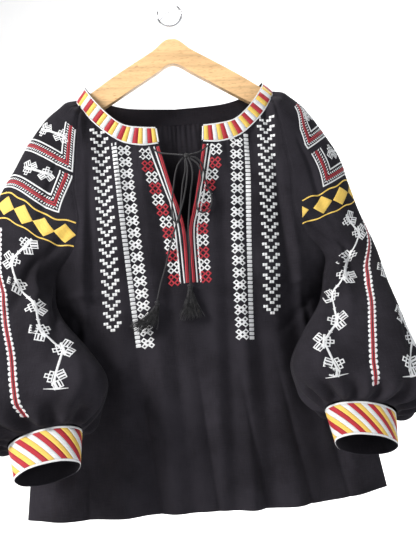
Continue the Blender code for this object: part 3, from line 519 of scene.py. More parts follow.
class Sleeve:
    """One sleeve: its shown cloth, and the places on it measured from the cut's middle line."""

    rows = np.linspace(0.0, SLEEVE_LAST, 141)
    reach = np.linspace(-0.17, 0.17, 137)

    def __init__(self, side):
        self.side = side
        around = np.linspace(-1, 1, 241)
        grid = sleeve_point(self.rows[:, None], around[None, :], side)
        gone = gone_across(grid)
        self.middle = columns(MIDDLE_LINE[side], self.rows)[0]
        at_middle = np.array([np.interp(middle, around, row) for middle, row in zip(self.middle, gone)])
        self.seam = {-1: at_middle, 1: gone[:, -1] - at_middle}
        self.along = gone_along(sleeve_point(self.rows, self.middle, side))
        self.s_at = np.array([
            np.interp(np.interp(middle, around, row) + self.reach, row, around)
            for middle, row in zip(self.middle, gone)])

    def upright(self, across, along, inward, rim=0.003):
        """Places down a line inward of one that runs this far from the middle line, clear of the seam."""
        way = -1 if across < 0 else 1
        lower = along + self.droop(across, along)
        free = np.interp(lower, self.along, self.seam[way]) - rim
        taper = abs(across) - np.interp(along, *zip(*FRAME_TAPER[self.side]))
        return np.stack([way * (np.minimum(taper, free) - inward), along], axis=-1)

    def lift(self, row, s):
        around = crease_lift([(b0, a0, b1, a1, high, wide) for a0, b0, a1, b1, high, wide
                              in SLEEVE_CREASES], s, row, stretch=5.0)
        edge = smoothstep(0.0, 0.10, 1 - np.abs(s))
        wander = 0.6 * np.sin(s * 7.0 + self.side) + 0.3 * np.sin(s * 19.0)
        neck = np.sin(s * 34.0 + 3 * wander) * np.exp(-row / 0.5) * smoothstep(0.0, 0.08, row)
        cuff = np.sin(s * 74.0 + 4 * wander) * smoothstep(12.4, 13.6, row) * (1 - smoothstep(13.7, 14, row))
        soft = np.sin(9 * s + 1.7 * row) * np.sin(2.1 * row + 4 * s + self.side)
        deep = np.sin(math.pi * CUFF_GATHERS * (s + 1) + 0.9 * np.sin(3.1 * s + self.side))
        deep = deep * smoothstep(11.4, 13.2, row) * (1 - smoothstep(13.5, 14.0, row))
        fine = 0.0012 * neck + 0.0008 * cuff + 0.0010 * soft * smoothstep(2.0, 5.0, row) + 0.0036 * deep
        ends = 1 - smoothstep(13.4, 14.0, row)
        near = bump(1 - np.abs(s), 0.03) * smoothstep(0.0, 0.012, 1 - np.abs(s))
        seam = SEAM_DIP * np.where(row < ARMPIT, near, 0.0) * smoothstep(0.0, 0.5, row)
        return sleeve_folds(row, s, self.side) + edge * (around * ends + fine) - seam

    def shown(self, row, s):
        """Points of the sleeve with its folds, and which way it faces before them."""
        side, ds, dr = self.side, 0.004, 0.05
        row, s = np.broadcast_arrays(np.asarray(row, float), np.asarray(s, float))
        across = (sleeve_point(row, np.minimum(s + ds, 1), side)
                  - sleeve_point(row, np.maximum(s - ds, -1), side))
        low, high = np.maximum(row - dr, 0), np.minimum(row + dr, SLEEVE_LAST)
        facing = unit(np.cross(across, sleeve_point(high, s, side) - sleeve_point(low, s, side))) * -side
        return sleeve_point(row, s, side) + facing * self.lift(row, s)[..., None], facing

    def place_on(self, across, along):
        """Section and share round at a place measured in metres from the middle line and the neck."""
        row = np.interp(along, self.along, self.rows)
        i = np.clip((row / self.rows[1]).astype(int), 0, len(self.rows) - 2)
        j = np.clip(((across - self.reach[0]) / (self.reach[1] - self.reach[0])).astype(int), 0,
                    len(self.reach) - 2)
        p = row / self.rows[1] - i
        q = (across - self.reach[0]) / (self.reach[1] - self.reach[0]) - j
        at = self.s_at
        s = ((1 - p) * ((1 - q) * at[i, j] + q * at[i, j + 1])
             + p * ((1 - q) * at[i + 1, j] + q * at[i + 1, j + 1]))
        return row, s

    def droop(self, across, along):
        """How far a straight row hangs down at a place."""
        return columns(DROOP[self.side], along)[0] * smoothstep(0.0, 1.0, np.abs(across) / 0.10)

    def ground(self, across, along):
        """Places on the outer face of the cloth, and which way it faces there."""
        across, along = np.asarray(across, float), np.asarray(along, float)
        along = along + self.droop(across, along)
        row, s = self.place_on(across, along)
        ds, dr = 0.0015, 0.006
        here, out = self.shown(row, s)
        round_step = self.shown(row, s + ds)[0] - self.shown(row, s - ds)[0]
        long_step = self.shown(row + dr, s)[0] - self.shown(row - dr, s)[0]
        facing = unit(np.cross(round_step, long_step))
        facing = facing * np.sign(np.sum(facing * out, axis=-1, keepdims=True))
        return here + facing * CLOTH / 2, facing


class Band:
    """Half of the neck band: across is metres from the slit's end, down is from its upper edge."""

    def __init__(self, side):
        self.side = side
        self.around = np.linspace(0, 10, 201)
        low_x, low_y, low_drop, up_x, up_y, up_drop = columns(NECK, self.around)
        higher = NECK_HIGHER[side] * columns(NECK_STANDS, self.around)[0]
        self.low = place(side * low_x, low_y, low_drop)
        self.up = place(side * (up_x + 0.3 * higher), up_y, up_drop - higher)
        self.gone = gone_along((self.low + self.up) / 2)
        self.long = self.gone[-1]
        self.high = np.linalg.norm(self.low - self.up, axis=1)

    def sheet(self, across, share):
        """Points of the band's middle layer, softly bellied and rippled."""
        up, low = places_at(across, self.gone, self.up), places_at(across, self.gone, self.low)
        along = places_at(across + 0.001, self.gone, self.up) - places_at(across - 0.001, self.gone, self.up)
        facing = unit(np.cross(along, low - up)) * -self.side
        belly = 0.0007 * np.sin(math.pi * share) + 0.0004 * np.sin(across * 41 + 2.0 * share + self.side)
        belly = belly * smoothstep(0.0, 0.030, self.long - across)
        return up + (low - up) * share[..., None] + facing * belly[..., None], facing

    def ground(self, across, down):
        across, down = np.asarray(across, float), np.asarray(down, float)
        share = down / np.interp(across, self.gone, self.high)
        here, facing = self.sheet(across, share)
        return here + facing * BAND_CLOTH / 2, facing


class Cuff:
    """One cuff: across is metres round from its outermost place towards the front, down from its top."""

    def __init__(self, side):
        self.side = side
        self.angles = np.linspace(-math.pi, math.pi, 241)
        gone = gone_along(self.sheet(self.angles, np.full_like(self.angles, 0.5)))
        self.gone = gone - np.interp(0.0, self.angles, gone)
        self.long = gone[-1]

    def sheet(self, angle, share):
        """Points of the cuff's middle layer at an angle round it and a share of the way down."""
        top_x, top_drop, mid_x, mid_y, mid_drop = columns(SLEEVE, SLEEVE_LAST)[:5]
        down = share * CUFF_HIGH
        half, deep, tip = columns(CUFF_RINGS, down)
        tip, first = np.radians(tip), math.radians(CUFF_RINGS[0][3])
        slant = (top_drop - mid_drop) / (top_x - mid_x)
        soft = 1 + 0.012 * np.sin(3 * angle + self.side) * share + 0.010 * np.sin(7 * angle) * share
        across, depth = half * np.cos(angle) * soft, -deep * np.sin(angle) * soft
        x = mid_x + across - 0.004 * share
        y = mid_y - down * math.sin(first) + depth * np.cos(tip)
        drop = mid_drop + down * math.cos(first) + depth * np.sin(tip) + across * slant
        return place(self.side * x, y, drop)

    def ground(self, across, down):
        across = (np.asarray(across, float) - self.gone[0]) % self.long + self.gone[0]
        angle = np.interp(across, self.gone, self.angles)
        share = np.asarray(down, float) / CUFF_HIGH
        here, step = self.sheet(angle, share), 0.01
        round_step = self.sheet(angle + step, share) - here
        down_step = self.sheet(angle, share + step) - here
        facing = unit(np.cross(round_step, down_step)) * self.side
        return here + facing * BAND_CLOTH / 2, facing


# Finishes
def new_finish(name, colour, rough, **fixed):
    """A finish whose unchanging values sit on the shader's own sockets."""
    finish = bpy.data.materials.new(name)
    finish.use_nodes = True
    finish.diffuse_color = (*colour, 1)
    shader = finish.node_tree.nodes["Principled BSDF"]
    shader.inputs["Base Color"].default_value = (*colour, 1)
    shader.inputs["Roughness"].default_value = rough
    for socket, value in fixed.items():
        shader.inputs[socket.replace("_", " ")].default_value = value
    return finish, finish.node_tree, shader


def node(tree, kind, inputs=None, **values):
    made = tree.nodes.new("ShaderNode" + kind)
    for name, value in values.items():
        setattr(made, name, value)
    for name, value in (inputs or {}).items():
        if isinstance(value, bpy.types.NodeSocket):
            tree.links.new(value, made.inputs[name])
        else:
            made.inputs[name].default_value = value
    return made


def ramp(tree, source, stops):
    """Colours by a value from 0 to 1."""
    made = tree.nodes.new("ShaderNodeValToRGB")
    made.color_ramp.elements[0].position, made.color_ramp.elements[1].position = stops[0][0], stops[-1][0]
    for position, colour in stops[1:-1]:
        made.color_ramp.elements.new(position)
    for element, (position, colour) in zip(made.color_ramp.elements, stops):
        element.position = position
        element.color = (*colour, 1)
    tree.links.new(source, made.inputs[0])
    return made.outputs[0]


def shade(colour, share):
    return tuple(min(1.0, value * share) for value in colour)


def flat_places(tree, across=1.0, along=1.0):
    """The piece's own flat coordinates, stretched."""
    coords = node(tree, "UVMap", uv_map="cloth")
    return node(tree, "Mapping", {"Vector": coords.outputs[0], "Scale": (across, along, 1.0)}).outputs[0]


def object_places(tree, stretch=None):
    """The object's own coordinates, stretched where a grain needs it."""
    coords = node(tree, "TexCoord").outputs["Object"]
    if stretch is None:
        return coords
    return node(tree, "Mapping", {"Vector": coords, "Scale": stretch}).outputs[0]


def noise(tree, vector, scale, detail, **more):
    return node(tree, "TexNoise", {"Vector": vector, "Scale": scale, "Detail": detail, **more}).outputs["Fac"]


def waves(tree, vector, pitch, direction, wobble=0.0):
    """A value that rises and falls once in each pitch along x or y."""
    return node(tree, "TexWave", {"Vector": vector, "Scale": 2 * math.pi / 20 / pitch,
                                  "Distortion": wobble, "Detail": 1.0, "Detail Scale": 1.0},
                wave_type="BANDS", bands_direction=direction).outputs["Fac"]


def added(tree, value, share, other):
    """A share of one value added to another."""
    return node(tree, "Math", {0: value, 1: share, 2: other}, operation="MULTIPLY_ADD").outputs[0]


def blended(tree, kind, share, first, second):
    """Two colours mixed in one way."""
    mix = node(tree, "Mix", {"Factor": share}, data_type="RGBA", blend_type=kind)
    tree.links.new(first, mix.inputs[6])
    tree.links.new(second, mix.inputs[7])
    return mix.outputs[2]


def dress(tree, shader, base, worn, low, high, relief, strength, distance, under=None):
    """Gives the shader its colour, a roughness between two values, and a fine relief."""
    tree.links.new(base, shader.inputs["Base Color"])
    rough = node(tree, "MapRange", {"Value": worn, "To Min": low, "To Max": high}).outputs[0]
    tree.links.new(rough, shader.inputs["Roughness"])
    inputs = {"Height": relief, "Strength": strength, "Distance": distance}
    if under:
        inputs["Normal"] = under
    tree.links.new(node(tree, "Bump", inputs).outputs[0], shader.inputs["Normal"])


def black_cloth(name, colour):
    """Matt cotton: uneven yarns both ways, a soft bloom, faint wear of its colour, and painted shade between
    the yarns of its weave.
    """
    finish, tree, shader = new_finish(name, colour, 0.88, Sheen_Weight=0.02, Sheen_Roughness=0.45,
                                      Specular_IOR_Level=0.04)
    places, here = flat_places(tree), object_places(tree)
    warp, weft = waves(tree, places, 0.00075, "X", 0.6), waves(tree, places, 0.00085, "Y", 0.6)
    slub_a = noise(tree, flat_places(tree, 900.0, 60.0), 1.0, 2.0)
    slub_b = noise(tree, flat_places(tree, 60.0, 900.0), 1.0, 2.0)
    cloud = noise(tree, here, 11.0, 3.0, Roughness=0.6)
    lint = noise(tree, here, 620.0, 1.0)
    weave, slubs = added(tree, warp, 1.0, weft), added(tree, slub_a, 1.0, slub_b)
    # Painted shade: the weave's waves darken the colour between the yarns; the slubs and cloud are the yarns'
    # own uneven tone.
    yarn_tone_and_weave_shade = added(tree, weave, 0.10, added(tree, slubs, 0.28, cloud))
    base = ramp(tree, yarn_tone_and_weave_shade, [(0.50, shade(colour, 0.50)), (0.80, colour), (1.05, shade(colour, 1.55))])
    specks = ramp(tree, lint, [(0.70, (0, 0, 0)), (0.78, shade(colour, 1.6))])
    fine = node(tree, "Bump", {"Height": added(tree, slubs, 1.2, weave), "Strength": 0.35,
                               "Distance": 0.00025}).outputs[0]
    dress(tree, shader, blended(tree, "ADD", 0.5, base, specks), cloud, 0.80, 0.95,
          noise(tree, here, 70.0, 3.0), 0.35, 0.0016, fine)
    return finish


def stitch_thread(name, colour, dark, gloss=0.5):
    """Cotton floss laid side by side: each thread has its own tone and a soft shine along it, with painted
    shade between the threads and a painted highlight along each one's crown in its colour.
    """
    finish, tree, shader = new_finish(name, colour, gloss, Sheen_Weight=0.10, Sheen_Roughness=0.35,
                                      Specular_IOR_Level=0.40)
    threads = waves(tree, flat_places(tree), 0.00062, "Y", 0.8)
    tone = noise(tree, flat_places(tree, 40.0, 1400.0), 1.0, 1.0)
    wear = noise(tree, object_places(tree), 34.0, 2.0)
    # Painted shade and highlight: the threads' bands darken the colour between threads and lighten their
    # crowns; wear and tone are the floss's own uneven colour.
    light = added(tree, wear, 0.45, added(tree, threads, 0.45, tone))
    base = ramp(tree, light, [(0.50, dark), (0.82, colour), (1.15, shade(colour, 1.10))])
    dress(tree, shader, base, tone, gloss - 0.08, gloss + 0.15, threads, 0.55, 0.00022)
    return finish


def beech_wood(name):
    """Clear-varnished beech: long grain along the board with short darker flecks."""
    colour = (0.78, 0.50, 0.25)
    finish, tree, shader = new_finish(name, colour, 0.42, Coat_Weight=0.35, Coat_Roughness=0.18)
    grain = noise(tree, object_places(tree, (7.0, 60.0, 110.0)), 1.0, 4.0, Roughness=0.6, Distortion=0.4)
    flecks = noise(tree, object_places(tree, (110.0, 700.0, 900.0)), 1.0, 1.0)
    base = ramp(tree, grain, [(0.30, shade(colour, 0.72)), (0.52, colour), (0.75, shade(colour, 1.15))])
    dark = ramp(tree, flecks, [(0.30, (0.60, 0.50, 0.42)), (0.42, (1, 1, 1))])
    dress(tree, shader, blended(tree, "MULTIPLY", 0.8, base, dark), grain, 0.34, 0.52, grain, 0.15, 0.0006)
    return finish


def hook_steel(name):
    """Bright wire with fine drawing marks and duller patches."""
    colour = (0.62, 0.62, 0.64)
    finish, tree, shader = new_finish(name, colour, 0.22, Metallic=1.0)
    patches = noise(tree, object_places(tree), 160.0, 3.0)
    base = ramp(tree, patches, [(0.35, shade(colour, 0.86)), (0.65, shade(colour, 1.10))])
    dress(tree, shader, base, patches, 0.16, 0.34, patches, 0.08, 0.0002)
    return finish


def dark_thread(name, colour, pitch):
    """Black cotton cord or thread, with a painted highlight on the ridges of its fibres and painted shade in
    the grooves between them.
    """
    finish, tree, shader = new_finish(name, colour, 0.72, Sheen_Weight=0.08, Sheen_Roughness=0.4)
    lean = node(tree, "Mapping", {"Vector": flat_places(tree), "Rotation": (0.0, 0.0, math.radians(35))})
    fibres = waves(tree, lean.outputs[0], pitch, "X", 0.5)
    tone = noise(tree, object_places(tree), 420.0, 2.0)
    # Painted highlight and shade: the fibres' wave makes the ridges lighter and the grooves darker in the
    # colour; the tone noise is the thread's own uneven colour.
    base = ramp(tree, added(tree, fibres, 0.5, tone),
                [(0.40, shade(colour, 0.65)), (0.70, colour), (1.0, shade(colour, 1.9))])
    dress(tree, shader, base, tone, 0.60, 0.85, fibres, 0.5, 0.00015)
    return finish


COTTON_BLACK = (0.0150, 0.0138, 0.0172)
CLOTH_FINISH = black_cloth("black_cotton", COTTON_BLACK)
BAND_FINISH = black_cloth("band_cotton", COTTON_BLACK)
CORD_FINISH = dark_thread("tie_cord_cotton", (0.0085, 0.0080, 0.0100), 0.0006)
TASSEL_FINISH = dark_thread("tassel_cotton", (0.0060, 0.0058, 0.0075), 0.0005)
WOOD_FINISH = beech_wood("varnished_beech")
STEEL_FINISH = hook_steel("bright_steel_wire")
# Each floss with the darker colour that its painted shade between threads, its wear and its tone reach down
# to.
THREADS = {
    "white": stitch_thread("white_floss", (0.64, 0.65, 0.66), (0.30, 0.30, 0.32)),
    "red": stitch_thread("red_floss", (0.36, 0.012, 0.024), (0.20, 0.006, 0.012)),
    "dark_red": stitch_thread("dark_red_floss", (0.045, 0.005, 0.009), (0.020, 0.003, 0.005)),
    "gold": stitch_thread("gold_floss", (0.70, 0.475, 0.095), (0.46, 0.29, 0.045)),
}


# Pieces
def rest_everything():
    for obj in list(bpy.context.selected_objects):
        obj.select_set(False)


def make_active(obj):
    rest_everything()
    obj.select_set(True)
    bpy.context.view_layer.objects.active = obj


def add_mesh(name, points, faces, uv, finish, out=None, extra=(), solid=False, merge=0.0):
    """A piece of the scene from its points, faces and flat coordinates; out is the way it faces."""
    points, faces = np.asarray(points, float), np.asarray(faces)
    if out is not None:
        corner = points[faces]
        normal = np.cross(corner[:, 2] - corner[:, 0], corner[:, 3] - corner[:, 1])
        wrong = np.sum(normal * out[faces].mean(axis=1), axis=1) < 0
        faces = np.where(wrong[:, None], faces[:, ::-1], faces)
    mesh = bpy.data.meshes.new(name)
    mesh.from_pydata(points.tolist(), [], faces.tolist() + [list(map(int, face)) for face in extra])
    if uv is not None:
        loops = np.empty(len(mesh.loops), dtype=np.int32)
        mesh.loops.foreach_get("vertex_index", loops)
        layer = mesh.uv_layers.new(name="cloth")
        layer.data.foreach_set("uv", np.asarray(uv, float)[loops].astype(np.float32).ravel())
    mesh.polygons.foreach_set("use_smooth", np.ones(len(mesh.polygons), dtype=bool))
    shape = bmesh.new()
    shape.from_mesh(mesh)
    if merge:
        bmesh.ops.remove_doubles(shape, verts=shape.verts, dist=merge)
    if solid:
        bmesh.ops.recalc_face_normals(shape, faces=shape.faces)
    shape.to_mesh(mesh)
    shape.free()
    mesh.materials.append(finish)
    obj = bpy.data.objects.new(name, mesh)
    bpy.context.scene.collection.objects.link(obj)
    return obj


def settle(obj, node=None):
    """The piece hangs with the blouse, and may stand for a solid, whose own part it hides."""
    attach(obj, "root")
    if node:
        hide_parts(node)
    return obj


def thicken(obj, thick, soft=0.0):
    """A cloth's thickness, half to each side of its middle layer."""
    wall = obj.modifiers.new("cloth thickness", "SOLIDIFY")
    wall.thickness = thick
    wall.offset = 0.0
    if soft:
        edge = obj.modifiers.new("soft edge", "BEVEL")
        edge.width = soft
        edge.segments = 2
        edge.limit_method = "ANGLE"
        edge.angle_limit = math.radians(60)


def grid_faces(rows, count, wrap=False):
    first = np.arange(rows * count).reshape(rows, count)
    after = np.roll(first, -1, axis=1) if wrap else first[:, 1:]
    here = first if wrap else first[:, :-1]
    return np.stack([here[:-1], after[:-1], after[1:], here[1:]], axis=-1).reshape(-1, 4)


SINK = 0.0002               # how far a stitch's edge lies inside the cloth
FLAT_STITCH = 0.00045       # how high a stitch stands


def edged_shares(count, edge):
    """Even steps from 0 to 1, with one more close to each end."""
    return np.concatenate([[0], np.linspace(edge / count, 1 - edge / count, count + 1), [1]])


class Work:
    """Needlework on one piece of cloth, its stitches gathered by thread colour."""

    def __init__(self, ground):
        self.ground = ground
        self.made = {}

    def grid(self, colour, places, heights, uv):
        """A small grid of chart places, each with its height above the cloth."""
        part = self.made.setdefault(colour, {"places": [], "heights": [], "uv": [], "faces": [], "n": 0})
        rows, count = places.shape[:2]
        part["places"].append(places.reshape(-1, 2))
        part["heights"].append(np.broadcast_to(heights, (rows, count)).reshape(-1))
        part["uv"].append(uv.reshape(-1, 2))
        part["faces"].append(grid_faces(rows, count) + part["n"])
        part["n"] += rows * count

    def patch(self, colour, corners, high=FLAT_STITCH, length=1, width=1, edge=0.16):
        """A padded block of satin stitch inside four corners, its threads lying along the first side."""
        a, b, c, d = np.asarray(corners, float)
        u, v = np.meshgrid(edged_shares(length, edge), edged_shares(width, edge))
        places = ((1 - u) * (1 - v))[..., None] * a + (u * (1 - v))[..., None] * b \
            + (u * v)[..., None] * c + ((1 - u) * v)[..., None] * d
        heights = np.full(u.shape, high)
        heights[0, :] = heights[-1, :] = heights[:, 0] = heights[:, -1] = -SINK
        uv = np.stack([u * np.linalg.norm(b - a), v * np.linalg.norm(d - a)], axis=-1)
        self.grid(colour, places, heights, uv)

    def ribbon(self, colour, path, wide, high=FLAT_STITCH, closed=False, step=0.0025):
        """A raised line of stitches along a path; wide may be one width or one for each point."""
        path = np.asarray(path, float)
        wide = np.broadcast_to(np.asarray(wide, float), (len(path),)).copy()
        if closed:
            path, wide = np.vstack([path, path[:1]]), np.append(wide, wide[0])
        if step:
            gone = gone_along(path)
            want = np.unique(np.concatenate([gone, np.linspace(0, gone[-1], int(gone[-1] / step) + 2)]))
            path = places_at(want, gone, path)
            wide = np.interp(want, gone, wide)
        run = np.diff(path, axis=0)
        run = run / np.maximum(np.linalg.norm(run, axis=1, keepdims=True), 1e-9)
        if closed:
            before, after = np.vstack([run[-1:], run]), np.vstack([run, run[:1]])
        else:
            before, after = np.vstack([run[:1], run]), np.vstack([run, run[-1:]])
        mean = unit(before + after)
        corner = np.clip(np.sum(mean * before, axis=1), 0.5, 1.0)
        normal = np.stack([-mean[:, 1], mean[:, 0]], axis=-1) / corner[:, None]
        shares = np.array([-0.5, -0.36, 0.0, 0.36, 0.5])
        places = path[:, None] + normal[:, None] * (wide[:, None] * shares)[..., None]
        heights = np.tile(np.array([-SINK, 0.75 * high, high, 0.75 * high, -SINK]), (len(path), 1))
        if not closed:
            heights[0] = heights[-1] = -SINK
        uv = np.stack(np.broadcast_arrays(wide[:, None] * shares, gone_along(path)[:, None]), axis=-1)
        self.grid(colour, places, heights, uv)

    def ring(self, colour, centre, reach_a, reach_b, stroke, lean=0.0, sides=8, high=FLAT_STITCH):
        """A small closed ring of stitches, its points out along the chart's own axes."""
        turns = np.arange(sides) * 2 * math.pi / sides
        square = 1.0 / (np.abs(np.cos(turns)) + np.abs(np.sin(turns))) if sides == 8 else np.ones(sides)
        swell = 0.45 + 0.55 * square
        local = np.stack([np.cos(turns) * (reach_a - stroke / 2) * swell,
                          np.sin(turns) * (reach_b - stroke / 2) * swell], axis=-1)
        self.ribbon(colour, centre + lean_by(local, lean), stroke, high, closed=True, step=None)

    def finish(self, name):
        """One mesh for each thread colour."""
        for colour, part in self.made.items():
            chart = np.concatenate(part["places"])
            points, facing = self.ground(chart[:, 0], chart[:, 1])
            points = points + facing * np.concatenate(part["heights"])[:, None]
            faces = np.concatenate(part["faces"])
            stitches = add_mesh(f"{name}_{colour}", points, faces, np.concatenate(part["uv"]),
                                THREADS[colour], out=facing)
            settle(stitches)


def lean_by(points, lean):
    """Chart points turned by an angle."""
    points = np.asarray(points, float)
    c, s = math.cos(lean), math.sin(lean)
    return np.stack([points[..., 0] * c - points[..., 1] * s, points[..., 0] * s + points[..., 1] * c],
                    axis=-1)


def walk(path, pitch):
    """Evenly spaced centres along a smooth chart path, each with the lean of the path there."""
    fine = smooth_through(path, 400)
    gone = gone_along(fine)
    count = max(1, int(round(gone[-1] / pitch)))
    want = gone[-1] * (np.arange(count + 1) / count)
    run = places_at(want + 0.002, gone, fine) - places_at(want - 0.002, gone, fine)
    return list(zip(places_at(want, gone, fine), np.arctan2(run[:, 1], run[:, 0]) - math.pi / 2))


# Cords of the tie: points that each passes, as x, drop and how far it stands in front of the cloth
CORD = 0.0026
KNOT = (0.0060, 0.1210)
KNOT_OUT = 0.0120
TIES = {
    "tie_right": [(-0.0418, 0.1045, 0.0018), (-0.0350, 0.1100, 0.0035), (-0.0271, 0.1130, 0.0060),
                  (-0.0137, 0.1160, 0.0090), (0.0019, 0.1196, 0.0134)],
    "tie_left": [(0.0405, 0.1030, 0.0018), (0.0340, 0.1090, 0.0040), (0.0250, 0.1145, 0.0075),
                 (0.0104, 0.1196, 0.0134)],
    "loop_right": [(0.0010, 0.1232, 0.0130), (-0.0040, 0.1290, 0.0130), (-0.0079, 0.1342, 0.0120),
                   (-0.0122, 0.1456, 0.0100), (-0.0165, 0.1653, 0.0090), (-0.0196, 0.1826, 0.0060),
                   (-0.0214, 0.2000, 0.0050), (-0.0215, 0.2120, 0.0050), (-0.0189, 0.2204, 0.0058),
                   (-0.0139, 0.2207, 0.0070), (-0.0106, 0.2120, 0.0080), (-0.0087, 0.1990, 0.0090),
                   (-0.0058, 0.1810, 0.0100), (-0.0030, 0.1640, 0.0108), (0.0015, 0.1480, 0.0120),
                   (0.0034, 0.1350, 0.0120), (0.0030, 0.1254, 0.0122)],
    "loop_left": [(0.0110, 0.1225, 0.0130), (0.0180, 0.1240, 0.0130), (0.0226, 0.1266, 0.0125),
                  (0.0278, 0.1338, 0.0110), (0.0313, 0.1482, 0.0085), (0.0320, 0.1600, 0.0070),
                  (0.0352, 0.1709, 0.0060), (0.0386, 0.1800, 0.0055), (0.0390, 0.1910, 0.0050),
                  (0.0366, 0.2006, 0.0045), (0.0288, 0.2077, 0.0045), (0.0190, 0.2066, 0.0050),
                  (0.0160, 0.1990, 0.0060), (0.0180, 0.1849, 0.0075), (0.0227, 0.1689, 0.0115),
                  (0.0262, 0.1530, 0.0130), (0.0220, 0.1360, 0.0155), (0.0106, 0.1250, 0.0138)],
    "tail_right": [(0.0045, 0.1251, 0.0150), (0.0058, 0.1400, 0.0170), (0.0030, 0.1606, 0.0170),
                   (-0.0010, 0.1786, 0.0155), (-0.0060, 0.1960, 0.0140), (-0.0126, 0.2140, 0.0120),
                   (-0.0201, 0.2330, 0.0095), (-0.0299, 0.2615, 0.0060), (-0.0378, 0.2877, 0.0040),
                   (-0.0454, 0.3088, 0.0045), (-0.0532, 0.3353, 0.0065)],
    "tail_left": [(0.0077, 0.1251, 0.0150), (0.0108, 0.1340, 0.0170), (0.0126, 0.1450, 0.0165),
                  (0.0116, 0.1600, 0.0140), (0.0085, 0.1734, 0.0125), (0.0060, 0.1885, 0.0115),
                  (0.0010, 0.2243, 0.0070), (0.0004, 0.2450, 0.0045), (0.0004, 0.2665, 0.0035),
                  (-0.0015, 0.2950, 0.0045), (-0.0033, 0.3140, 0.0062)],
}
CORD_STEP = 0.0076          # between two points of a cord's route
PLY_TWIST = 0.0075          # along the cord for one turn of its three plies
TASSEL_HEAD = 0.0080
TASSEL_LONG = 0.049
TASSEL_STRANDS = 118
STRAND = 0.00052            # how far a strand's three corners lie from its middle at its root
TASSEL_PROFILE = [
    # share of the head's radius out, and down from the cord's end
    (0.05, 0.06), (0.55, -0.10), (0.85, -0.28), (0.97, -0.50), (1.0, -0.78), (0.94, -1.00),
    (0.72, -1.14), (0.68, -1.22), (0.80, -1.34), (0.93, -1.50), (0.90, -1.62), (0.45, -1.70),
]
TASSELS = {
    # name: the cord it ends, lean of the strands to the side, spread
    "tassel_right": ("tail_right", -1.15, 2.1),
    "tassel_left": ("tail_left", -0.06, 1.35),
}


def cord_place(panel, x, drop, out):
    """A place in front of the cloth, or of the slit's edges where the cloth is open."""
    side = -1 if x < 0 else 1
    gone = max(0.0, 1 - (drop - 0.090) / (SLIT_END_DROP - 0.090)) ** 0.85
    beside = max(abs(x), 0.0325 * gone)
    y = panel.one_side_y(np.array(side * beside), np.array(drop), side, creased=False)
    return place(x, y - CLOTH_SOLID / 2 - out, drop)


def cord_line(panel, stops):
    """Evenly spaced points on one smooth curve through a cord's stops."""
    fine = smooth_through([cord_place(panel, *stop) for stop in stops], 400)
    gone = gone_along(fine)
    count = int(np.clip(gone[-1] / CORD_STEP + 1, 15, 40))
    return places_at(np.linspace(0, gone[-1], count), gone, fine)


def line_length(line):
    return float(gone_along(line)[-1])


def carried_frames(line):
    """A pair of directions square to the line at each point, carried along it without twisting."""
    run = unit(np.gradient(line, axis=0))
    side = unit(np.cross(run[0], (0.0, 1.0, 0.3)))
    sides = []
    for direction in run:
        side = unit(side - direction * np.dot(side, direction))
        sides.append(side)
    sides = np.array(sides)
    return sides, np.cross(run, sides)


def rings_about(line, turns, radius):
    """Rings of points about a line, at these turns round it and this far out."""
    a, b = carried_frames(line)
    return line[:, None] + a[:, None] * (radius * np.cos(turns))[..., None] \
        + b[:, None] * (radius * np.sin(turns))[..., None]


def twisted_cord(name, line, thick, finish, step=0.0011, sides=12):
    """A cord of three plies laid together, closed at both ends."""
    fine = smooth_through(line, int(line_length(line) / step) + 2)
    gone = gone_along(fine)
    turns = np.arange(sides) * 2 * math.pi / sides
    phase = 1.5 * (turns[None, :] - 2 * math.pi * gone[:, None] / PLY_TWIST)
    radius = thick / 2 * (0.80 + 0.20 * np.abs(np.cos(phase)))
    rings = rings_about(fine, turns, radius)
    uv = np.stack(np.broadcast_arrays(turns[None, :] / (2 * math.pi) * 0.008, gone[:, None]), axis=-1)
    count = rings.shape[0] * sides
    ends = [list(range(sides))[::-1], list(range(count - sides, count))]
    return add_mesh(name, rings.reshape(-1, 3), grid_faces(len(fine), sides, wrap=True), uv.reshape(-1, 2),
                    finish, extra=ends, solid=True)


def wound_lump(name, centre, radii, finish, node):
    """The bow's knot: a ball shaped by the cord that is wound over it."""
    rest_everything()
    bpy.ops.mesh.primitive_uv_sphere_add(segments=40, ring_count=24, radius=1.0, location=(0, 0, 0))
    obj = bpy.context.active_object
    obj.name = obj.data.name = name
    for v in obj.data.vertices:
        around = math.atan2(v.co.z, v.co.x)
        swell = 1 + 0.10 * math.cos(3 * around)
        groove = 1 - 0.16 * abs(math.sin(2.0 * around + 2.6 * v.co.y)) ** 6
        v.co = Vector((v.co.x * radii[0] * swell * groove, v.co.y * radii[1] * groove,
                       v.co.z * radii[2] * swell * groove)) + Vector(centre)
    obj.data.polygons.foreach_set("use_smooth", [True] * len(obj.data.polygons))
    obj.data.materials.append(finish)
    return settle(obj, node)


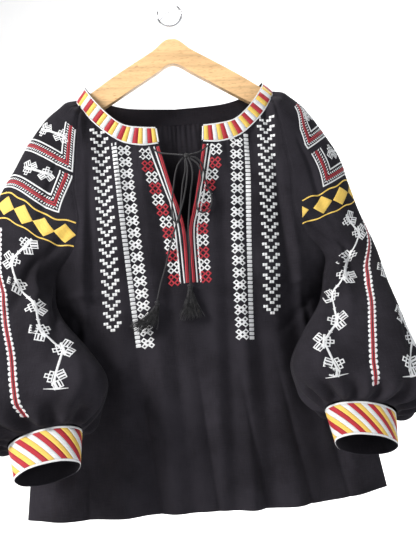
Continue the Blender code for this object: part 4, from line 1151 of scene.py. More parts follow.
def make_tassel(name, top, lean, spread, finish):
    """A wound head and the loose strands that come out of it, each rooted inside the head."""
    radius = TASSEL_HEAD / 2
    around = 36
    turns = np.arange(around) * 2 * math.pi / around
    ridges = 1 + 0.035 * np.cos(9 * turns * 2)
    rings = [np.stack([radius * wide * ridges * np.cos(turns), radius * wide * ridges * np.sin(turns),
                       np.full(around, radius * down)], axis=-1) for wide, down in TASSEL_PROFILE]
    faces = grid_faces(len(rings), around, wrap=True).tolist()
    count = len(rings) * around
    faces_end = [list(range(around))[::-1], list(range(count - around, count))]
    points = list(np.concatenate(rings))
    uv = [(t * 0.004, down * radius) for _, down in TASSEL_PROFILE for t in turns]
    steps = 12
    for i in range(TASSEL_STRANDS):
        reach = math.sqrt((i + 0.5) / TASSEL_STRANDS)
        turn = i * 2.399963
        wander = 0.35 * math.sin(i * 1.7)
        long = TASSEL_LONG * (0.90 + 0.10 * math.cos(i * 2.3)) * (0.97 + 0.03 * math.sin(i * 0.7))
        stem = []
        here = np.array([0.72 * radius * reach * math.cos(turn), 0.72 * radius * reach * math.sin(turn),
                         -1.25 * radius])
        for step in range(steps + 1):
            share = step / steps
            stem.append(here.copy())
            out = spread * reach * (0.16 + 0.30 * share) * (0.55 + 0.45 * reach)
            sway = 0.05 * math.sin(5 * share + i * 1.3) * share
            move = np.array([out * math.cos(turn + wander) + lean * (0.35 + 0.65 * share) + sway,
                             0.14 * out * math.sin(turn + wander) - 0.03,
                             -math.sqrt(max(0.2, 1 - (lean * share) ** 2 * 0.7))])
            here = here + move * long / steps / max(1.0, np.linalg.norm(move) * 0.93)
        first, last = len(points), len(points) + steps * 3
        thin = STRAND * np.linspace(1.0, 0.55, steps + 1)[:, None]
        corners = 2 * math.pi * np.arange(3) / 3 + 0.5 * np.arange(steps + 1)[:, None]
        points += list(rings_about(np.array(stem), corners, thin).reshape(-1, 3))
        uv += [(k * 0.0004, step * long / steps) for step in range(steps + 1) for k in range(3)]
        faces += (grid_faces(steps + 1, 3, wrap=True) + first).tolist()
        faces_end += [[first, first + 2, first + 1], [last, last + 1, last + 2]]
    points = np.array(points) + np.array(top)
    obj = add_mesh(name, points, np.array(faces), np.array(uv), finish, extra=faces_end, solid=True)
    return settle(obj, name.replace("_threads", ""))


def make_tie(panel):
    """The two ties, the bow's loops, its free ends, the knot and the tassels."""
    lines = {name: cord_line(panel, stops) for name, stops in TIES.items()}
    cords = {name: twisted_cord(name + "_cord", line, CORD, CORD_FINISH) for name, line in lines.items()}
    for name, cord in cords.items():
        settle(cord, name)
    knot = wound_lump("bow_knot", cord_place(panel, *KNOT, KNOT_OUT + 0.0018), (0.0044, 0.0030, 0.0040),
                      CORD_FINISH, "tie_knot")
    for name, (cord_name, lean, spread) in TASSELS.items():
        line = lines[cord_name]
        top = line[-1] + unit(line[-1] - line[-2]) * 0.0003
        make_tassel(name + "_threads", top, lean, spread, TASSEL_FINISH)


# The blouse's own pieces
BODY_COLUMNS = 124


def body_half(panel, side):
    """A grid over one half of the front or back, from its centre out to its side edge."""
    drops = {}
    for each in (-1, 1):
        line = np.maximum.accumulate(NECK_POINT_Z - panel.edge[each][:, 2])
        drops[each] = (line - line[0]) / (line[-1] - line[0])
    mean = (drops[-1] + drops[1]) / 2
    u = np.linspace(0, 1, BODY_COLUMNS)[None, :]
    v = mean[:, None] + (drops[side] - mean)[:, None] * u
    u = np.broadcast_to(u, v.shape)
    return panel.points(u, v, side)


def joined(grids):
    """Points, faces and flat places of several grids in one mesh."""
    faces, total = [], 0
    for grid, _ in grids:
        faces.append(grid_faces(*grid.shape[:2]) + total)
        total += grid.shape[0] * grid.shape[1]
    return (np.concatenate([grid.reshape(-1, 3) for grid, _ in grids]), np.concatenate(faces),
            np.concatenate([flat.reshape(-1, 2) for _, flat in grids]))


def make_body(name, panel, node_name):
    """The front or the back: two halves that are one cloth below the neck slit."""
    halves = [body_half(panel, side) for side in (-1, 1)]
    points, faces, uv = joined([(grid, grid[..., [0, 2]]) for grid in halves])
    out = np.tile((0.0, panel.out, 0.0), (len(points), 1))
    body = add_mesh(name, points, faces, uv, CLOTH_FINISH, out=out, merge=0.00002)
    thicken(body, CLOTH)
    return settle(body, node_name)


def make_sleeve(name, sleeve, node_name):
    """The raglan sleeve: open along the raglan seams down to the armhole, then a tube to the cuff."""
    rows = np.concatenate([SLEEVE_SHARES, np.linspace(ARMPIT, SLEEVE_LAST, 78)[1:]])
    around = np.linspace(-1, 1, 253)
    points, out = sleeve.shown(rows[:, None], around[None, :])
    length = np.interp(rows, sleeve.rows, sleeve.along)
    across = gone_across(points)
    across = across - across[:, [len(around) // 2]]
    uv = np.stack([across, np.broadcast_to(-length[:, None], across.shape)], axis=-1)
    faces = grid_faces(len(rows), len(around))
    cloth = add_mesh(name, points.reshape(-1, 3), faces, uv.reshape(-1, 2), CLOTH_FINISH,
                     out=out.reshape(-1, 3), merge=0.00002)
    thicken(cloth, CLOTH)
    return settle(cloth, node_name)


def make_neck_band(bands):
    """The band round the neck, open in front at the slit."""
    grids, out = [], []
    for side, band in bands.items():
        across, share = np.meshgrid(np.linspace(0, band.long, 260), np.linspace(0, 1, 15), indexing="ij")
        grid, facing = band.sheet(across, share)
        grids.append((grid, np.stack([side * across, -share * BAND_HIGH], axis=-1)))
        out.append(facing.reshape(-1, 3))
    points, faces, uv = joined(grids)
    band = add_mesh("neck_band_cloth", points, faces, uv, BAND_FINISH, out=np.concatenate(out), merge=0.00002)
    thicken(band, BAND_CLOTH, soft=0.0005)
    return settle(band, "neck_band")


def make_cuff(name, cuff, node_name):
    """A cuff, one closed band round the wrist."""
    angles, share = cuff.angles, np.linspace(0, 1, 25)
    grid = cuff.sheet(*np.meshgrid(angles, share, indexing="ij"))
    out = cuff.ground(np.repeat(cuff.gone, len(share)), np.tile(share * CUFF_HIGH, len(angles)))[1]
    flat = np.stack(np.broadcast_arrays(cuff.gone[:, None], -share[None, :] * CUFF_HIGH), axis=-1)
    cloth = add_mesh(name, grid.reshape(-1, 3), grid_faces(*grid.shape[:2]), flat.reshape(-1, 2),
                     BAND_FINISH, out=out, merge=0.00002)
    thicken(cloth, BAND_CLOTH, soft=0.0005)
    return settle(cloth, node_name)


# Hanger
WOOD_THICK = 0.0115
WOOD_ROUND = 0.0038
HOOK_INNER = 0.0180
HOOK_WIRE = 0.0032
WOOD_EDGE = [
    # x,     top_drop, low_drop
    (0.000, -0.0880, -0.0470),
    (0.005, -0.0880, -0.0462),
    (0.030, -0.0700, -0.0310),
    (0.060, -0.0515, -0.0125),
    (0.100, -0.0265, 0.0120),
    (0.140, 0.0008, 0.0355),
    (0.170, 0.0190, 0.0530),
    (0.184, 0.0280, 0.0610),
    (0.1935, 0.0400, 0.0630),
    (0.1965, 0.0500, 0.0560),
]


def make_hanger():
    """Both arms in one board: a flat strip shaped to its outline, thickened and rounded."""
    rest_everything()
    bpy.ops.mesh.primitive_grid_add(x_subdivisions=160, y_subdivisions=6, size=2.0, location=(0, 0, 0))
    board = bpy.context.active_object
    board.name = board.data.name = "hanger_board"
    for v in board.data.vertices:
        x = WOOD_EDGE[-1][0] * math.sin(v.co.x * math.pi / 2)
        top_drop, low_drop = columns(WOOD_EDGE, abs(x))
        share = (1 - v.co.y) / 2
        drop = top_drop + (low_drop - top_drop) * share
        v.co = (x, -WOOD_THICK / 2, NECK_POINT_Z - drop)
    make_active(board)
    bpy.ops.object.mode_set(mode="EDIT")
    bpy.ops.mesh.select_all(action="SELECT")
    bpy.ops.mesh.remove_doubles(threshold=0.00005)
    bpy.ops.mesh.extrude_region_move(TRANSFORM_OT_translate={"value": (0, WOOD_THICK, 0)})
    bpy.ops.mesh.select_all(action="SELECT")
    bpy.ops.mesh.normals_make_consistent(inside=False)
    bpy.ops.object.mode_set(mode="OBJECT")
    soft = board.modifiers.new("rounded edge", "BEVEL")
    soft.width, soft.segments, soft.limit_method, soft.angle_limit = WOOD_ROUND, 5, "ANGLE", math.radians(50)
    bpy.ops.object.modifier_apply(modifier=soft.name)
    bpy.ops.object.shade_smooth_by_angle(angle=math.radians(38))
    board.data.materials.append(WOOD_FINISH)
    return settle(board, "hanger_wood")


HOOK_BEND = [(0.0052, -0.0390), (0.0018, -0.0432), (0.0002, -0.0490), (0.0, -0.0560)]


def pull_ring(mesh, here, there, turn):
    """Draws the chosen ring of a wire out to the next place and turns it square to the wire."""
    bpy.ops.mesh.extrude_region_move()
    shape = bmesh.from_edit_mesh(mesh)
    turned = Matrix.Rotation(turn, 3, "Y")
    for v in shape.verts:
        if v.select:
            v.co = Vector(there) + turned @ (v.co - Vector(here))
    bmesh.update_edit_mesh(mesh)


def make_hook():
    """The wire hook, spun round its ring from the wire's section and drawn out into its stem."""
    radius = HOOK_INNER + HOOK_WIRE / 2
    rest_everything()
    bpy.ops.mesh.primitive_circle_add(vertices=20, radius=HOOK_WIRE / 2, location=(radius, 0, -HOOK_INNER))
    hook = bpy.context.active_object
    hook.name = hook.data.name = "hook_wire"
    bpy.ops.object.transform_apply(location=True, rotation=True, scale=True)
    mesh = hook.data
    bpy.ops.object.mode_set(mode="EDIT")
    bpy.ops.mesh.select_all(action="SELECT")
    bpy.ops.mesh.spin(steps=44, angle=math.radians(196), center=(0, 0, -HOOK_INNER), axis=(0, -1, 0))
    bpy.ops.mesh.edge_face_add()
    bpy.ops.mesh.select_all(action="DESELECT")
    shape = bmesh.from_edit_mesh(mesh)
    for v in shape.verts:
        v.select = v.co.x > 0 and abs(v.co.z + HOOK_INNER) < 0.00001
    shape.select_flush(True)
    bmesh.update_edit_mesh(mesh)
    bpy.ops.mesh.spin(steps=11, angle=math.radians(44), center=(0, 0, -HOOK_INNER), axis=(0, 1, 0))
    low = math.radians(-44)
    here = Vector((radius * math.cos(low), 0, -HOOK_INNER + radius * math.sin(low)))
    foot = (0.0, NECK_POINT_Z - WOOD_EDGE[0][1] + 0.0003)
    stops = [Vector((x, 0, z)) for x, z in HOOK_BEND + [foot]]
    heading = math.atan2(-math.cos(low), math.sin(low))
    for i, stop in enumerate(stops):
        after = stops[i + 1] if i + 1 < len(stops) else stop + (stop - here)
        mean = (stop - here).normalized() + (after - stop).normalized()
        want = math.atan2(mean.z, mean.x)
        pull_ring(mesh, here, stop, heading - want)
        heading, here = want, stop
    bpy.ops.mesh.edge_face_add()
    bpy.ops.mesh.select_all(action="SELECT")
    bpy.ops.mesh.normals_make_consistent(inside=False)
    bpy.ops.object.mode_set(mode="OBJECT")
    make_active(hook)
    bpy.ops.object.shade_smooth_by_angle(angle=math.radians(40))
    hook.data.materials.append(STEEL_FINISH)
    return settle(hook, "hanger_hook")


# Charts of the needlework, in metres; a place is (across, down)
CHEVRON_LINES = [[(-0.1230, 0.0760), (-0.1210, 0.1620), (-0.1200, 0.2690), (-0.1210, 0.3730)],
                 [(0.1340, 0.0700), (0.1270, 0.1780), (0.1230, 0.2700), (0.1180, 0.3650)]]
CHEVRON_PITCH, LADDER_PITCH, ROSETTE_PITCH = 0.0157, 0.0063, 0.0183
CHEVRON_STEPS = [(0.0, 0.0), (-0.0057, -0.0050), (0.0057, -0.0050), (-0.0100, -0.0100), (0.0100, -0.0100)]
LADDER_LINES = [[(-0.1015, 0.0920), (-0.0970, 0.1960), (-0.0910, 0.3020), (-0.0850, 0.3990)],
                [(0.1010, 0.0890), (0.0985, 0.1500), (0.0910, 0.2540), (0.0830, 0.4000)]]
ROSETTE_LINES = [[(-0.0865, 0.1030), (-0.0820, 0.1970), (-0.0760, 0.3030), (-0.0710, 0.3960)],
                 [(0.0855, 0.1000), (0.0800, 0.1750), (0.0740, 0.2490), (0.0690, 0.3940)]]
SLIT_CLUSTERS = [
    [(-0.0550, 0.1110), (-0.0525, 0.1305), (-0.0475, 0.1480), (-0.0435, 0.1655), (-0.0405, 0.1830),
     (-0.0350, 0.1995), (-0.0315, 0.2180), (-0.0285, 0.2345), (-0.0275, 0.2525), (-0.0255, 0.2695),
     (-0.0250, 0.2875), (-0.0255, 0.3060)],
    [(0.0530, 0.1090), (0.0500, 0.1305), (0.0440, 0.1490), (0.0380, 0.1655), (0.0315, 0.1840),
     (0.0270, 0.2000), (0.0245, 0.2150), (0.0215, 0.2320), (0.0210, 0.2490), (0.0205, 0.2685),
     (0.0205, 0.2865), (0.0210, 0.3045)]]
SLIT_LINES = [
    # colour, width, places from the neck seam to the end of the work
    ("white", 0.0026, [(-0.0495, 0.0985), (-0.0285, 0.1710), (-0.0220, 0.1950), (-0.0185, 0.2375),
                       (-0.0170, 0.3130)]),
    ("white", 0.0024, [(-0.0415, 0.0985), (-0.0240, 0.1710), (-0.0175, 0.1980), (-0.0130, 0.2375),
                       (-0.0108, 0.3130)]),
    ("red", 0.0048, [(-0.0360, 0.0985), (-0.0200, 0.1710), (-0.0125, 0.2000), (-0.0060, 0.2375),
                     (-0.0064, 0.3125)]),
    ("red", 0.0046, [(0.0360, 0.0985), (0.0196, 0.1735), (0.0115, 0.2050), (0.0040, 0.2375),
                     (0.0032, 0.3125)]),
    ("white", 0.0024, [(0.0412, 0.0985), (0.0242, 0.1735), (0.0160, 0.2050), (0.0090, 0.2375),
                       (0.0082, 0.3130)]),
    ("white", 0.0026, [(0.0470, 0.0985), (0.0295, 0.1735), (0.0210, 0.2050), (0.0140, 0.2375),
                       (0.0138, 0.3130)]),
]

# A sleeve's framed corners: half width outside, how far down its lower side lies, where its sides start
FRAMES = {-1: [(0.095, 0.117, 0.045), (0.094, 0.180, 0.1225)],
          1: [(0.095, 0.113, 0.045), (0.094, 0.181, 0.1225)]}
FRAME_SHIFT = {-1: 0.0, 1: 0.011}

# How far the frames' sides lean in towards the neck, by how far down the sleeve
FRAME_TAPER = {-1: [(0.0, 0.0), (0.1, 0.0)],
               1: [(0.045, 0.036), (0.056, 0.029), (0.078, 0.010), (0.105, 0.0)]}
FRAME_RED, FRAME_INNER, FRAME_DASHES = 0.0090, 0.0195, (0.0043, 0.0140)
LINE_WIDE = 0.0026

# The two clusters each side in a frame: across, up from the frame's foot, size
CLUSTERS = [[(0.018, 0.040, 0.85), (0.052, 0.046, 0.85)], [(0.024, 0.037, 0.85), (0.056, 0.043, 0.85)]]
GOLD_TOP, GOLD_FOOT, GOLD_HALF = 0.1905, 0.2310, 0.1225
LOZENGE_HALF, LOZENGE_CLEAR = 0.0172, 0.0042
GOLD_CENTRES = {
    -1: [-0.1060, -0.0742, -0.0408, -0.0075, 0.0258, 0.0592, 0.0925],
    1: [-0.1290, -0.0880, -0.0525, -0.0175, 0.0175, 0.0525, 0.0875],
}

# One flower in units of 1.5 mm: its square cells, then its long cells with their turn and half length
UNIT = 0.0015
FLOWER_SQUARES = [(-3.5, -4.4), (-3.7, -1.0), (-3.5, 2.6), (-7.2, -1.2)]
FLOWER_LONG = [
    # out, down, turn, half_long
    (3.1, -6.9, -40.0, 3.6),
    (5.0, -4.6, -40.0, 3.6),
    (6.9, -2.3, -40.0, 3.4),
    (1.9, 7.3, 50.0, 3.2),
    (4.2, 5.4, 50.0, 3.4),
    (6.5, 3.5, 50.0, 3.4),
]

# Flowers down the vine in front of the scalloped line, which the one behind mirrors
VINE = {
    -1: [(-0.050, 0.256), (-0.024, 0.297), (-0.027, 0.340), (-0.044, 0.392), (-0.046, 0.436),
         (-0.070, 0.470), (-0.054, 0.512)],
    1: [(-0.040, 0.259), (-0.022, 0.291), (-0.038, 0.332), (-0.033, 0.375), (-0.061, 0.410),
        (-0.051, 0.457), (-0.068, 0.496), (-0.053, 0.532)],
}
SCALLOP_START, SCALLOP_END, SCALLOP_PITCH = 0.246, 0.563, 0.0080

# The neck band's stripes: their width, and how far their upper end lies behind the lower one (by the
# band's own places)
BAND_INSET, CUFF_INSET = 0.0022, 0.0034     # from the edge to the stripes' ends
CUFF_REPEAT, CUFF_LEAN = 0.0270, 0.036
STRIPE_PITCH = [(0.0, 0.0066), (0.05, 0.0074), (0.11, 0.0084), (0.25, 0.0080)]
STRIPE_LEAN = [(0.0, 0.0), (1.0, 0.0025), (2.0, 0.0075), (3.0, 0.0110), (4.0, 0.0130), (5.0, 0.0100),
               (6.0, 0.0040), (8.0, 0.0), (10.0, 0.0)]


def box(half_a, half_b):
    """The corners of a small rectangle about its centre."""
    return np.array([(-half_a, -half_b), (half_a, -half_b), (half_a, half_b), (-half_a, half_b)])


def block(work, colour, centre, wide, high, lean=0.0, parts=1):
    """A block of satin stitch, sewn as one bar or as a few side by side."""
    bar = wide / parts
    for k in range(parts):
        corners = box(bar / 2, high / 2) + ((k + 0.5) * bar - wide / 2, 0.0)
        work.patch(colour, np.asarray(centre) + lean_by(corners, lean))


def chevrons(work, path):
    """Stepped chevrons, each of five blocks."""
    for centre, lean in walk(path, CHEVRON_PITCH):
        for step in CHEVRON_STEPS:
            block(work, "white", centre + lean_by(step, lean), 0.0073, 0.0046, lean, parts=2)


def rosette(work, colour, centre, lean, corner, reach_a, reach_b, stroke, heart):
    """Diamond rings at four corners, with one more in the middle where the chart has it."""
    places = [(a * corner[0], b * corner[1]) for a in (-1, 1) for b in (-1, 1)] + [(0.0, 0.0)] * heart
    for place_at in places:
        work.ring(colour, np.asarray(centre) + lean_by(place_at, lean), reach_a, reach_b, stroke, lean, 4)


def front_work(panel):
    work = Work(panel.ground)
    for path in CHEVRON_LINES:
        chevrons(work, path)
    for path in LADDER_LINES:
        for centre, lean in walk(path, LADDER_PITCH):
            block(work, "white", centre, 0.0084, 0.0053, lean)
    for path in ROSETTE_LINES:
        for centre, lean in walk(path, ROSETTE_PITCH):
            rosette(work, "white", centre, lean, (0.0052, 0.0040), 0.0047, 0.0043, 0.0021, 1)
    for line in SLIT_CLUSTERS:
        for i, centre in enumerate(line):
            colour = "red" if i % 2 else "white"
            rosette(work, colour, centre, 0.0, (0.0044, 0.0045), 0.0050, 0.0050, 0.0022, 0)
    for colour, wide, path in SLIT_LINES:
        fine = smooth_through(path, 60)
        work.ribbon(colour, fine, wide)
        if colour == "red":
            work.ribbon("dark_red", fine, wide * 0.24, high=FLAT_STITCH * 1.25)
    work.finish("front_stitches")


def u_path(sleeve, half, shift, top, foot, inward):
    """A frame's line: down one side, across below and up the other side."""
    along = np.append(np.arange(top, foot - inward - 0.002, 0.005), foot - inward)
    left, right = sleeve.upright(shift - half, along, inward), sleeve.upright(shift + half, along, inward)
    return np.concatenate([left, right[::-1]])


def dashes(work, path, pitch=0.0043, wide=0.0021, long=0.0037, slant=0.5):
    """Short slanted stitches side by side along a line."""
    gone = gone_along(path)
    count = int(round(gone[-1] / pitch))
    want = (np.arange(count) + 0.5) * gone[-1] / count
    at = np.clip(np.searchsorted(gone, want) - 1, 0, len(path) - 2)
    run = np.diff(path, axis=0)[at]
    corners = box(wide / 2, long / 2)
    corners[:, 0] += slant * corners[:, 1]
    for centre, lean in zip(places_at(want, gone, path), np.arctan2(run[:, 1], run[:, 0])):
        work.patch("white", centre + lean_by(corners, lean))


def flower(work, droop, centre, lean, outward, size=1.0):
    """A vine flower: a spine, a wing of square cells inside it and two wings of long cells outside."""
    unit_size = UNIT * size
    level = droop(*centre)
    def place_at(out, down):
        across, along = centre + lean_by((down * unit_size, -outward * out * unit_size), lean)
        return across, along - (droop(across, along) - level)
    work.ribbon("white", [place_at(0, -9.0), place_at(0.3, 0), place_at(0, 8.0)], 2.4 * unit_size)
    squares = [(out, down, 0.0, 1.7, 1.7, 1.30) for out, down in FLOWER_SQUARES]
    longs = [(out, down, turn, half, 1.15, 1.20) for out, down, turn, half in FLOWER_LONG]
    for out, down, turn, half_long, half_high, stroke in squares + longs:
        corners = lean_by(box(half_long, half_high), math.radians(turn))
        corners = [place_at(out + a, down + b) for a, b in corners]
        work.ribbon("white", corners, stroke * unit_size, closed=True, step=None)


def vine(work, droop, flowers, mirror):
    """Flowers that stand to one side and the other of a winding stem."""
    points = np.array(flowers) * (mirror, 1.0)
    before, after = np.vstack([points[:1], points[:-1]]), np.vstack([points[1:], points[-1:]])
    run = after - before
    for i, centre in enumerate(points):
        lean = math.atan2(run[i][1], run[i][0])
        off = lean_by(centre - (before[i] + after[i]) / 2, -lean)[1]
        outward = -1 if off > 0 else 1
        flower(work, droop, centre, lean, outward)
        if i + 1 < len(points):
            middle = (centre + points[i + 1]) / 2
            work.ribbon("white", [centre, middle, points[i + 1]], [0.0030, 0.0038, 0.0030])
    tip = points[-1] + (0.0, 0.0150)
    work.ribbon("white", [points[-1], tip], [0.0036, 0.0028])
    work.ribbon("white", [tip + (-0.0170, 0.0020), tip + (0.0, 0.0004), tip + (0.0170, -0.0030)],
                [0.0008, 0.0024, 0.0008])


def garland(work, droop, clusters, mirror, shift):
    """Leaf clusters joined by a thick stem, inside a frame."""
    points = [np.array((shift + across * mirror, down)) for across, down, size in clusters]
    for i, (centre, (_, _, size)) in enumerate(zip(points, clusters)):
        flower(work, droop, centre, math.pi if mirror < 0 else 0.0, mirror * (-1) ** i, size)
        if i:
            work.ribbon("white", [points[i - 1], centre], 0.0038)


def scalloped_line(work, start, end, across=0.0):
    """A red line with a dark middle, edged with scallops both sides."""
    line = [(across, start), (across, end)]
    work.ribbon("red", line, 0.0056, high=FLAT_STITCH * 1.2)
    work.ribbon("dark_red", line, 0.0024, high=FLAT_STITCH * 1.6)
    count = int(round((end - start) / SCALLOP_PITCH))
    pitch = (end - start) / count
    turns, shares = np.meshgrid(np.radians(np.linspace(-90, 90, 9)), [0.12, 0.55, 0.88, 1.0])
    heights = np.broadcast_to(FLAT_STITCH * np.array([1.0, 1.0, 0.8, 0.0])[:, None], turns.shape).copy()
    heights[-1] = -SINK
    heights[:, 0] = heights[:, -1] = -SINK
    uv = np.stack([shares * 0.0039, turns * 0.0026], axis=-1)
    for k in range(count):
        for side in (-1, 1):
            centre = np.array((across + side * 0.0022, start + (k + 0.5) * pitch))
            reach = np.stack([side * np.cos(turns) * 0.0042, np.sin(turns) * 0.0039], axis=-1)
            work.grid("white", centre + reach * shares[..., None], heights, uv)


def gold_band(work, sleeve):
    half = GOLD_HALF
    for down, wave in ((GOLD_TOP, 0.0), (GOLD_FOOT, 1.2)):
        across = np.linspace(-half, half, 97)
        line = np.stack([across, down + 0.0011 * np.sin(across * 190 + wave)], axis=-1)
        work.ribbon("gold", line, LINE_WIDE)
    middle = (GOLD_TOP + GOLD_FOOT) / 2
    high, wide = (GOLD_FOOT - GOLD_TOP) / 2 - LOZENGE_CLEAR, LOZENGE_HALF
    for centre in GOLD_CENTRES[sleeve.side]:
        corners = [(max(centre - wide, -half), middle), (centre, middle - high), (centre + wide, middle),
                   (centre, middle + high)]
        if centre < -half:
            up = high * (centre + wide + half) / wide
            corners = [(-half, middle - up), (-half + 1e-4, middle - up), (centre + wide, middle),
                       (-half, middle + up)]
        work.patch("gold", corners, length=5, width=5)


def sleeve_work(sleeve, word):
    work = Work(sleeve.ground)
    shift = FRAME_SHIFT[sleeve.side]
    for (half, foot, top), clusters in zip(FRAMES[sleeve.side], CLUSTERS):
        def line(offset):
            return u_path(sleeve, half, shift, top, foot, offset)
        work.ribbon("white", line(0.0), LINE_WIDE)
        work.ribbon("white", line(FRAME_INNER), LINE_WIDE)
        work.ribbon("red", line(FRAME_RED), 0.0054)
        work.ribbon("dark_red", line(FRAME_RED), 0.0018, high=FLAT_STITCH * 1.4)
        for offset in FRAME_DASHES:
            dashes(work, line(offset))
        placed = [(across, foot - up, size) for across, up, size in clusters]
        for mirror in (-1, 1):
            garland(work, sleeve.droop, placed, mirror, shift)
    gold_band(work, sleeve)
    for mirror in (1, -1):
        vine(work, sleeve.droop, VINE[sleeve.side], mirror)
    scalloped_line(work, SCALLOP_START, min(SCALLOP_END, sleeve.along[-1] - 0.004))
    work.finish(f"sleeve_{word}_stitches")


def band_work(band, word):
    work = Work(band.ground)
    across = np.linspace(0.0014, band.long, 200)
    for shift in (0.0012, -0.0012):
        edge = np.interp(across, band.gone, band.high) + shift if shift < 0 else np.full(200, shift)
        work.ribbon("white", np.stack([across, edge], axis=-1), 0.0024, step=None)
    foot = np.interp(0.0, band.gone, band.high)
    work.ribbon("white", [(0.0014, 0.0016), (0.0014, foot - 0.0016)], 0.0028)
    cuts = [0.0030]
    while cuts[-1] < band.long - 0.003:
        cuts.append(cuts[-1] + np.interp(cuts[-1], *zip(*STRIPE_PITCH)))
    cuts[-1] = band.long
    leans = [np.interp(np.interp(cut, band.gone, band.around), *zip(*STRIPE_LEAN)) for cut in cuts]
    feet = [np.interp(cut, band.gone, band.high) - BAND_INSET for cut in cuts]
    for k in range(len(cuts) - 1):
        low, high, lean, after = cuts[k], cuts[k + 1], leans[k] / 2, leans[k + 1] / 2
        corners = [(low - lean, BAND_INSET), (high - after, BAND_INSET), (high + after, feet[k + 1]),
                   (low + lean, feet[k])]
        work.patch(("gold", "red", "white")[k % 3], corners, length=2, width=5, edge=0.10)
    work.finish(f"neck_band_stitches_{word}")


def cuff_work(cuff, word):
    work = Work(cuff.ground)
    across = np.linspace(cuff.gone[0], cuff.gone[-1], 181)
    for down in (0.0018, CUFF_HIGH - 0.0018):
        line = np.stack([across, np.full(181, down)], axis=-1)
        work.ribbon("white", line, 0.0034, step=None)
    count = int(round(cuff.long / CUFF_REPEAT)) * 3
    pitch = cuff.long / count
    colours = ["red", "gold", "white"][::-cuff.side]
    half_lean, top, foot = CUFF_LEAN * cuff.side / 2, CUFF_INSET, CUFF_HIGH - CUFF_INSET
    for k in range(count):
        low = cuff.gone[0] + k * pitch
        corners = [(low + half_lean, top), (low + pitch + half_lean, top),
                   (low + pitch - half_lean, foot), (low - half_lean, foot)]
        work.patch(colours[k % 3], corners, length=3, width=12, edge=0.10)
    work.finish(f"cuff_{word}_stitches")


# Camera, floor and light
VIEW_TURN, VIEW_RISE, VIEW_ROLL = -4.986, -6.688, -4.573
VIEW_AWAY = 1.167
VIEW_TARGET = np.array([0.029, 0.0, -0.450])


def set_camera():
    """The photographer's place, a little below the middle of the blouse and looking slightly up."""
    turn, rise, roll = (math.radians(value) for value in (VIEW_TURN, VIEW_RISE, VIEW_ROLL))
    away = np.array([math.sin(turn) * math.cos(rise), -math.cos(turn) * math.cos(rise), math.sin(rise)])
    right = unit(np.cross((0.0, 0.0, 1.0), away))
    up = np.cross(away, right)
    tilted_right = math.cos(roll) * right + math.sin(roll) * up
    tilted_up = -math.sin(roll) * right + math.cos(roll) * up
    place_at = VIEW_TARGET + away * VIEW_AWAY
    data = bpy.data.cameras.new("photo camera")
    data.sensor_width, data.sensor_fit, data.lens = 36.0, "AUTO", 48.65
    camera = bpy.data.objects.new("photo camera", data)
    bpy.context.scene.collection.objects.link(camera)
    frame_matrix = Matrix([(tilted_right[k], tilted_up[k], away[k], place_at[k]) for k in range(3)]
                          + [(0, 0, 0, 1)])
    camera.matrix_world = frame_matrix
    bpy.context.scene.camera = camera


def add_light(name, place_at, aim, size, power, colour):
    data = bpy.data.lights.new(name, "AREA")
    data.shape, data.size, data.energy, data.color = "DISK", size, power, colour
    light = bpy.data.objects.new(name, data)
    light.location = place_at
    light.rotation_euler = (Vector(place_at) - Vector(aim)).to_track_quat("Z", "Y").to_euler()
    bpy.context.scene.collection.objects.link(light)


def plain_stage(name, points, faces, colour):
    mesh = bpy.data.meshes.new(name)
    mesh.from_pydata(points, [], faces)
    mesh.polygons.foreach_set("use_smooth", [True] * len(mesh.polygons))
    finish, tree, shader = new_finish(name + "_paper", colour, 0.9)
    cloud = node(tree, "TexNoise", {"Vector": node(tree, "TexCoord").outputs["Object"], "Scale": 1.3,
                                    "Detail": 2.0}).outputs["Fac"]
    tree.links.new(ramp(tree, cloud, [(0.3, shade(colour, 0.985)), (0.7, colour)]),
                   shader.inputs["Base Color"])
    mesh.materials.append(finish)
    obj = bpy.data.objects.new(name, mesh)
    bpy.context.scene.collection.objects.link(obj)


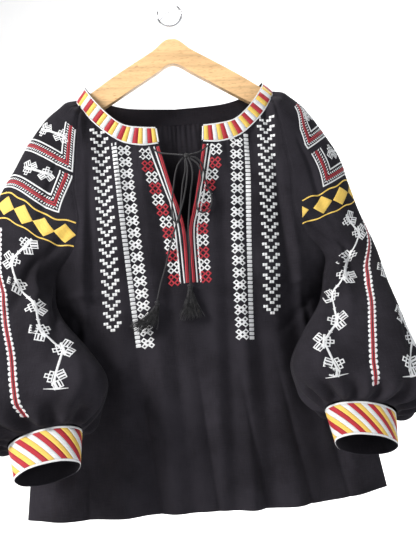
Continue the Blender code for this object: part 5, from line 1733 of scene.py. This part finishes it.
LIGHTS = [
    # name, place, aim, size, power, colour
    ("main window", (-1.9, -1.2, 0.8), (0.0, 0.0, -0.45), 0.9, 104.0, (1.0, 0.98, 0.96)),
    ("fill", (1.9, -1.5, -0.1), (0.0, 0.0, -0.45), 1.6, 13.0, (0.94, 0.97, 1.0)),
    ("rim", (0.8, 1.4, 1.3), (0.0, 0.0, -0.45), 1.0, 22.0, (1, 1, 1)),
    ("wall", (1.5, 1.0, 0.9), (0.6, 3.6, -0.3), 1.4, 100.0, (1, 1, 1)),
    ("floor", (0.2, 0.6, 0.9), (0.2, 0.9, -1.0), 1.4, 22.0, (1, 1, 1)),
]


def set_stage():
    """A pale floor below the hem that turns up into a pale wall behind."""
    floor, back, bend, half = -0.98, 3.6, 1.2, 7.0
    line = [(-5.0, floor)] + [(back - bend + bend * math.sin(math.radians(a)),
                               floor + bend * (1 - math.cos(math.radians(a)))) for a in range(0, 91, 6)]
    line.append((back, 3.2))
    points = [(x, y, z) for y, z in line for x in (-half, half)]
    faces = [(2 * i, 2 * i + 1, 2 * i + 3, 2 * i + 2) for i in range(len(line) - 1)]
    plain_stage("pale_floor", points, faces, (0.88, 0.88, 0.88))
    world = bpy.data.worlds.new("soft room light")
    bpy.context.scene.world = world
    world.use_nodes = True
    world.node_tree.nodes["Background"].inputs["Color"].default_value = (0.95, 0.97, 1.0, 1)
    world.node_tree.nodes["Background"].inputs["Strength"].default_value = 0.26
    for light in LIGHTS:
        add_light(*light)
    bpy.context.scene.view_settings.view_transform = "Standard"


# Making
def main():
    set_camera()
    front, back = Panel(back=False), Panel(back=True)
    make_tie(front)
    sleeves = {side: Sleeve(side) for side in (-1, 1)}
    bands = {side: Band(side) for side in (-1, 1)}
    cuffs = {side: Cuff(side) for side in (-1, 1)}
    front_cloth = make_body("front_cloth", front, "front")
    back_cloth = make_body("back_cloth", back, "back")
    for side, word in ((1, "left"), (-1, "right")):
        cloth = make_sleeve(f"sleeve_{word}_cloth", sleeves[side], f"sleeve_{word}")
        cuff = make_cuff(f"cuff_{word}_cloth", cuffs[side], f"cuff_{word}")
        sleeve_work(sleeves[side], word)
        cuff_work(cuffs[side], word)
        band_work(bands[side], word)
    front_work(front)
    neck_band = make_neck_band(bands)
    make_hanger()
    make_hook()
    set_stage()


main()
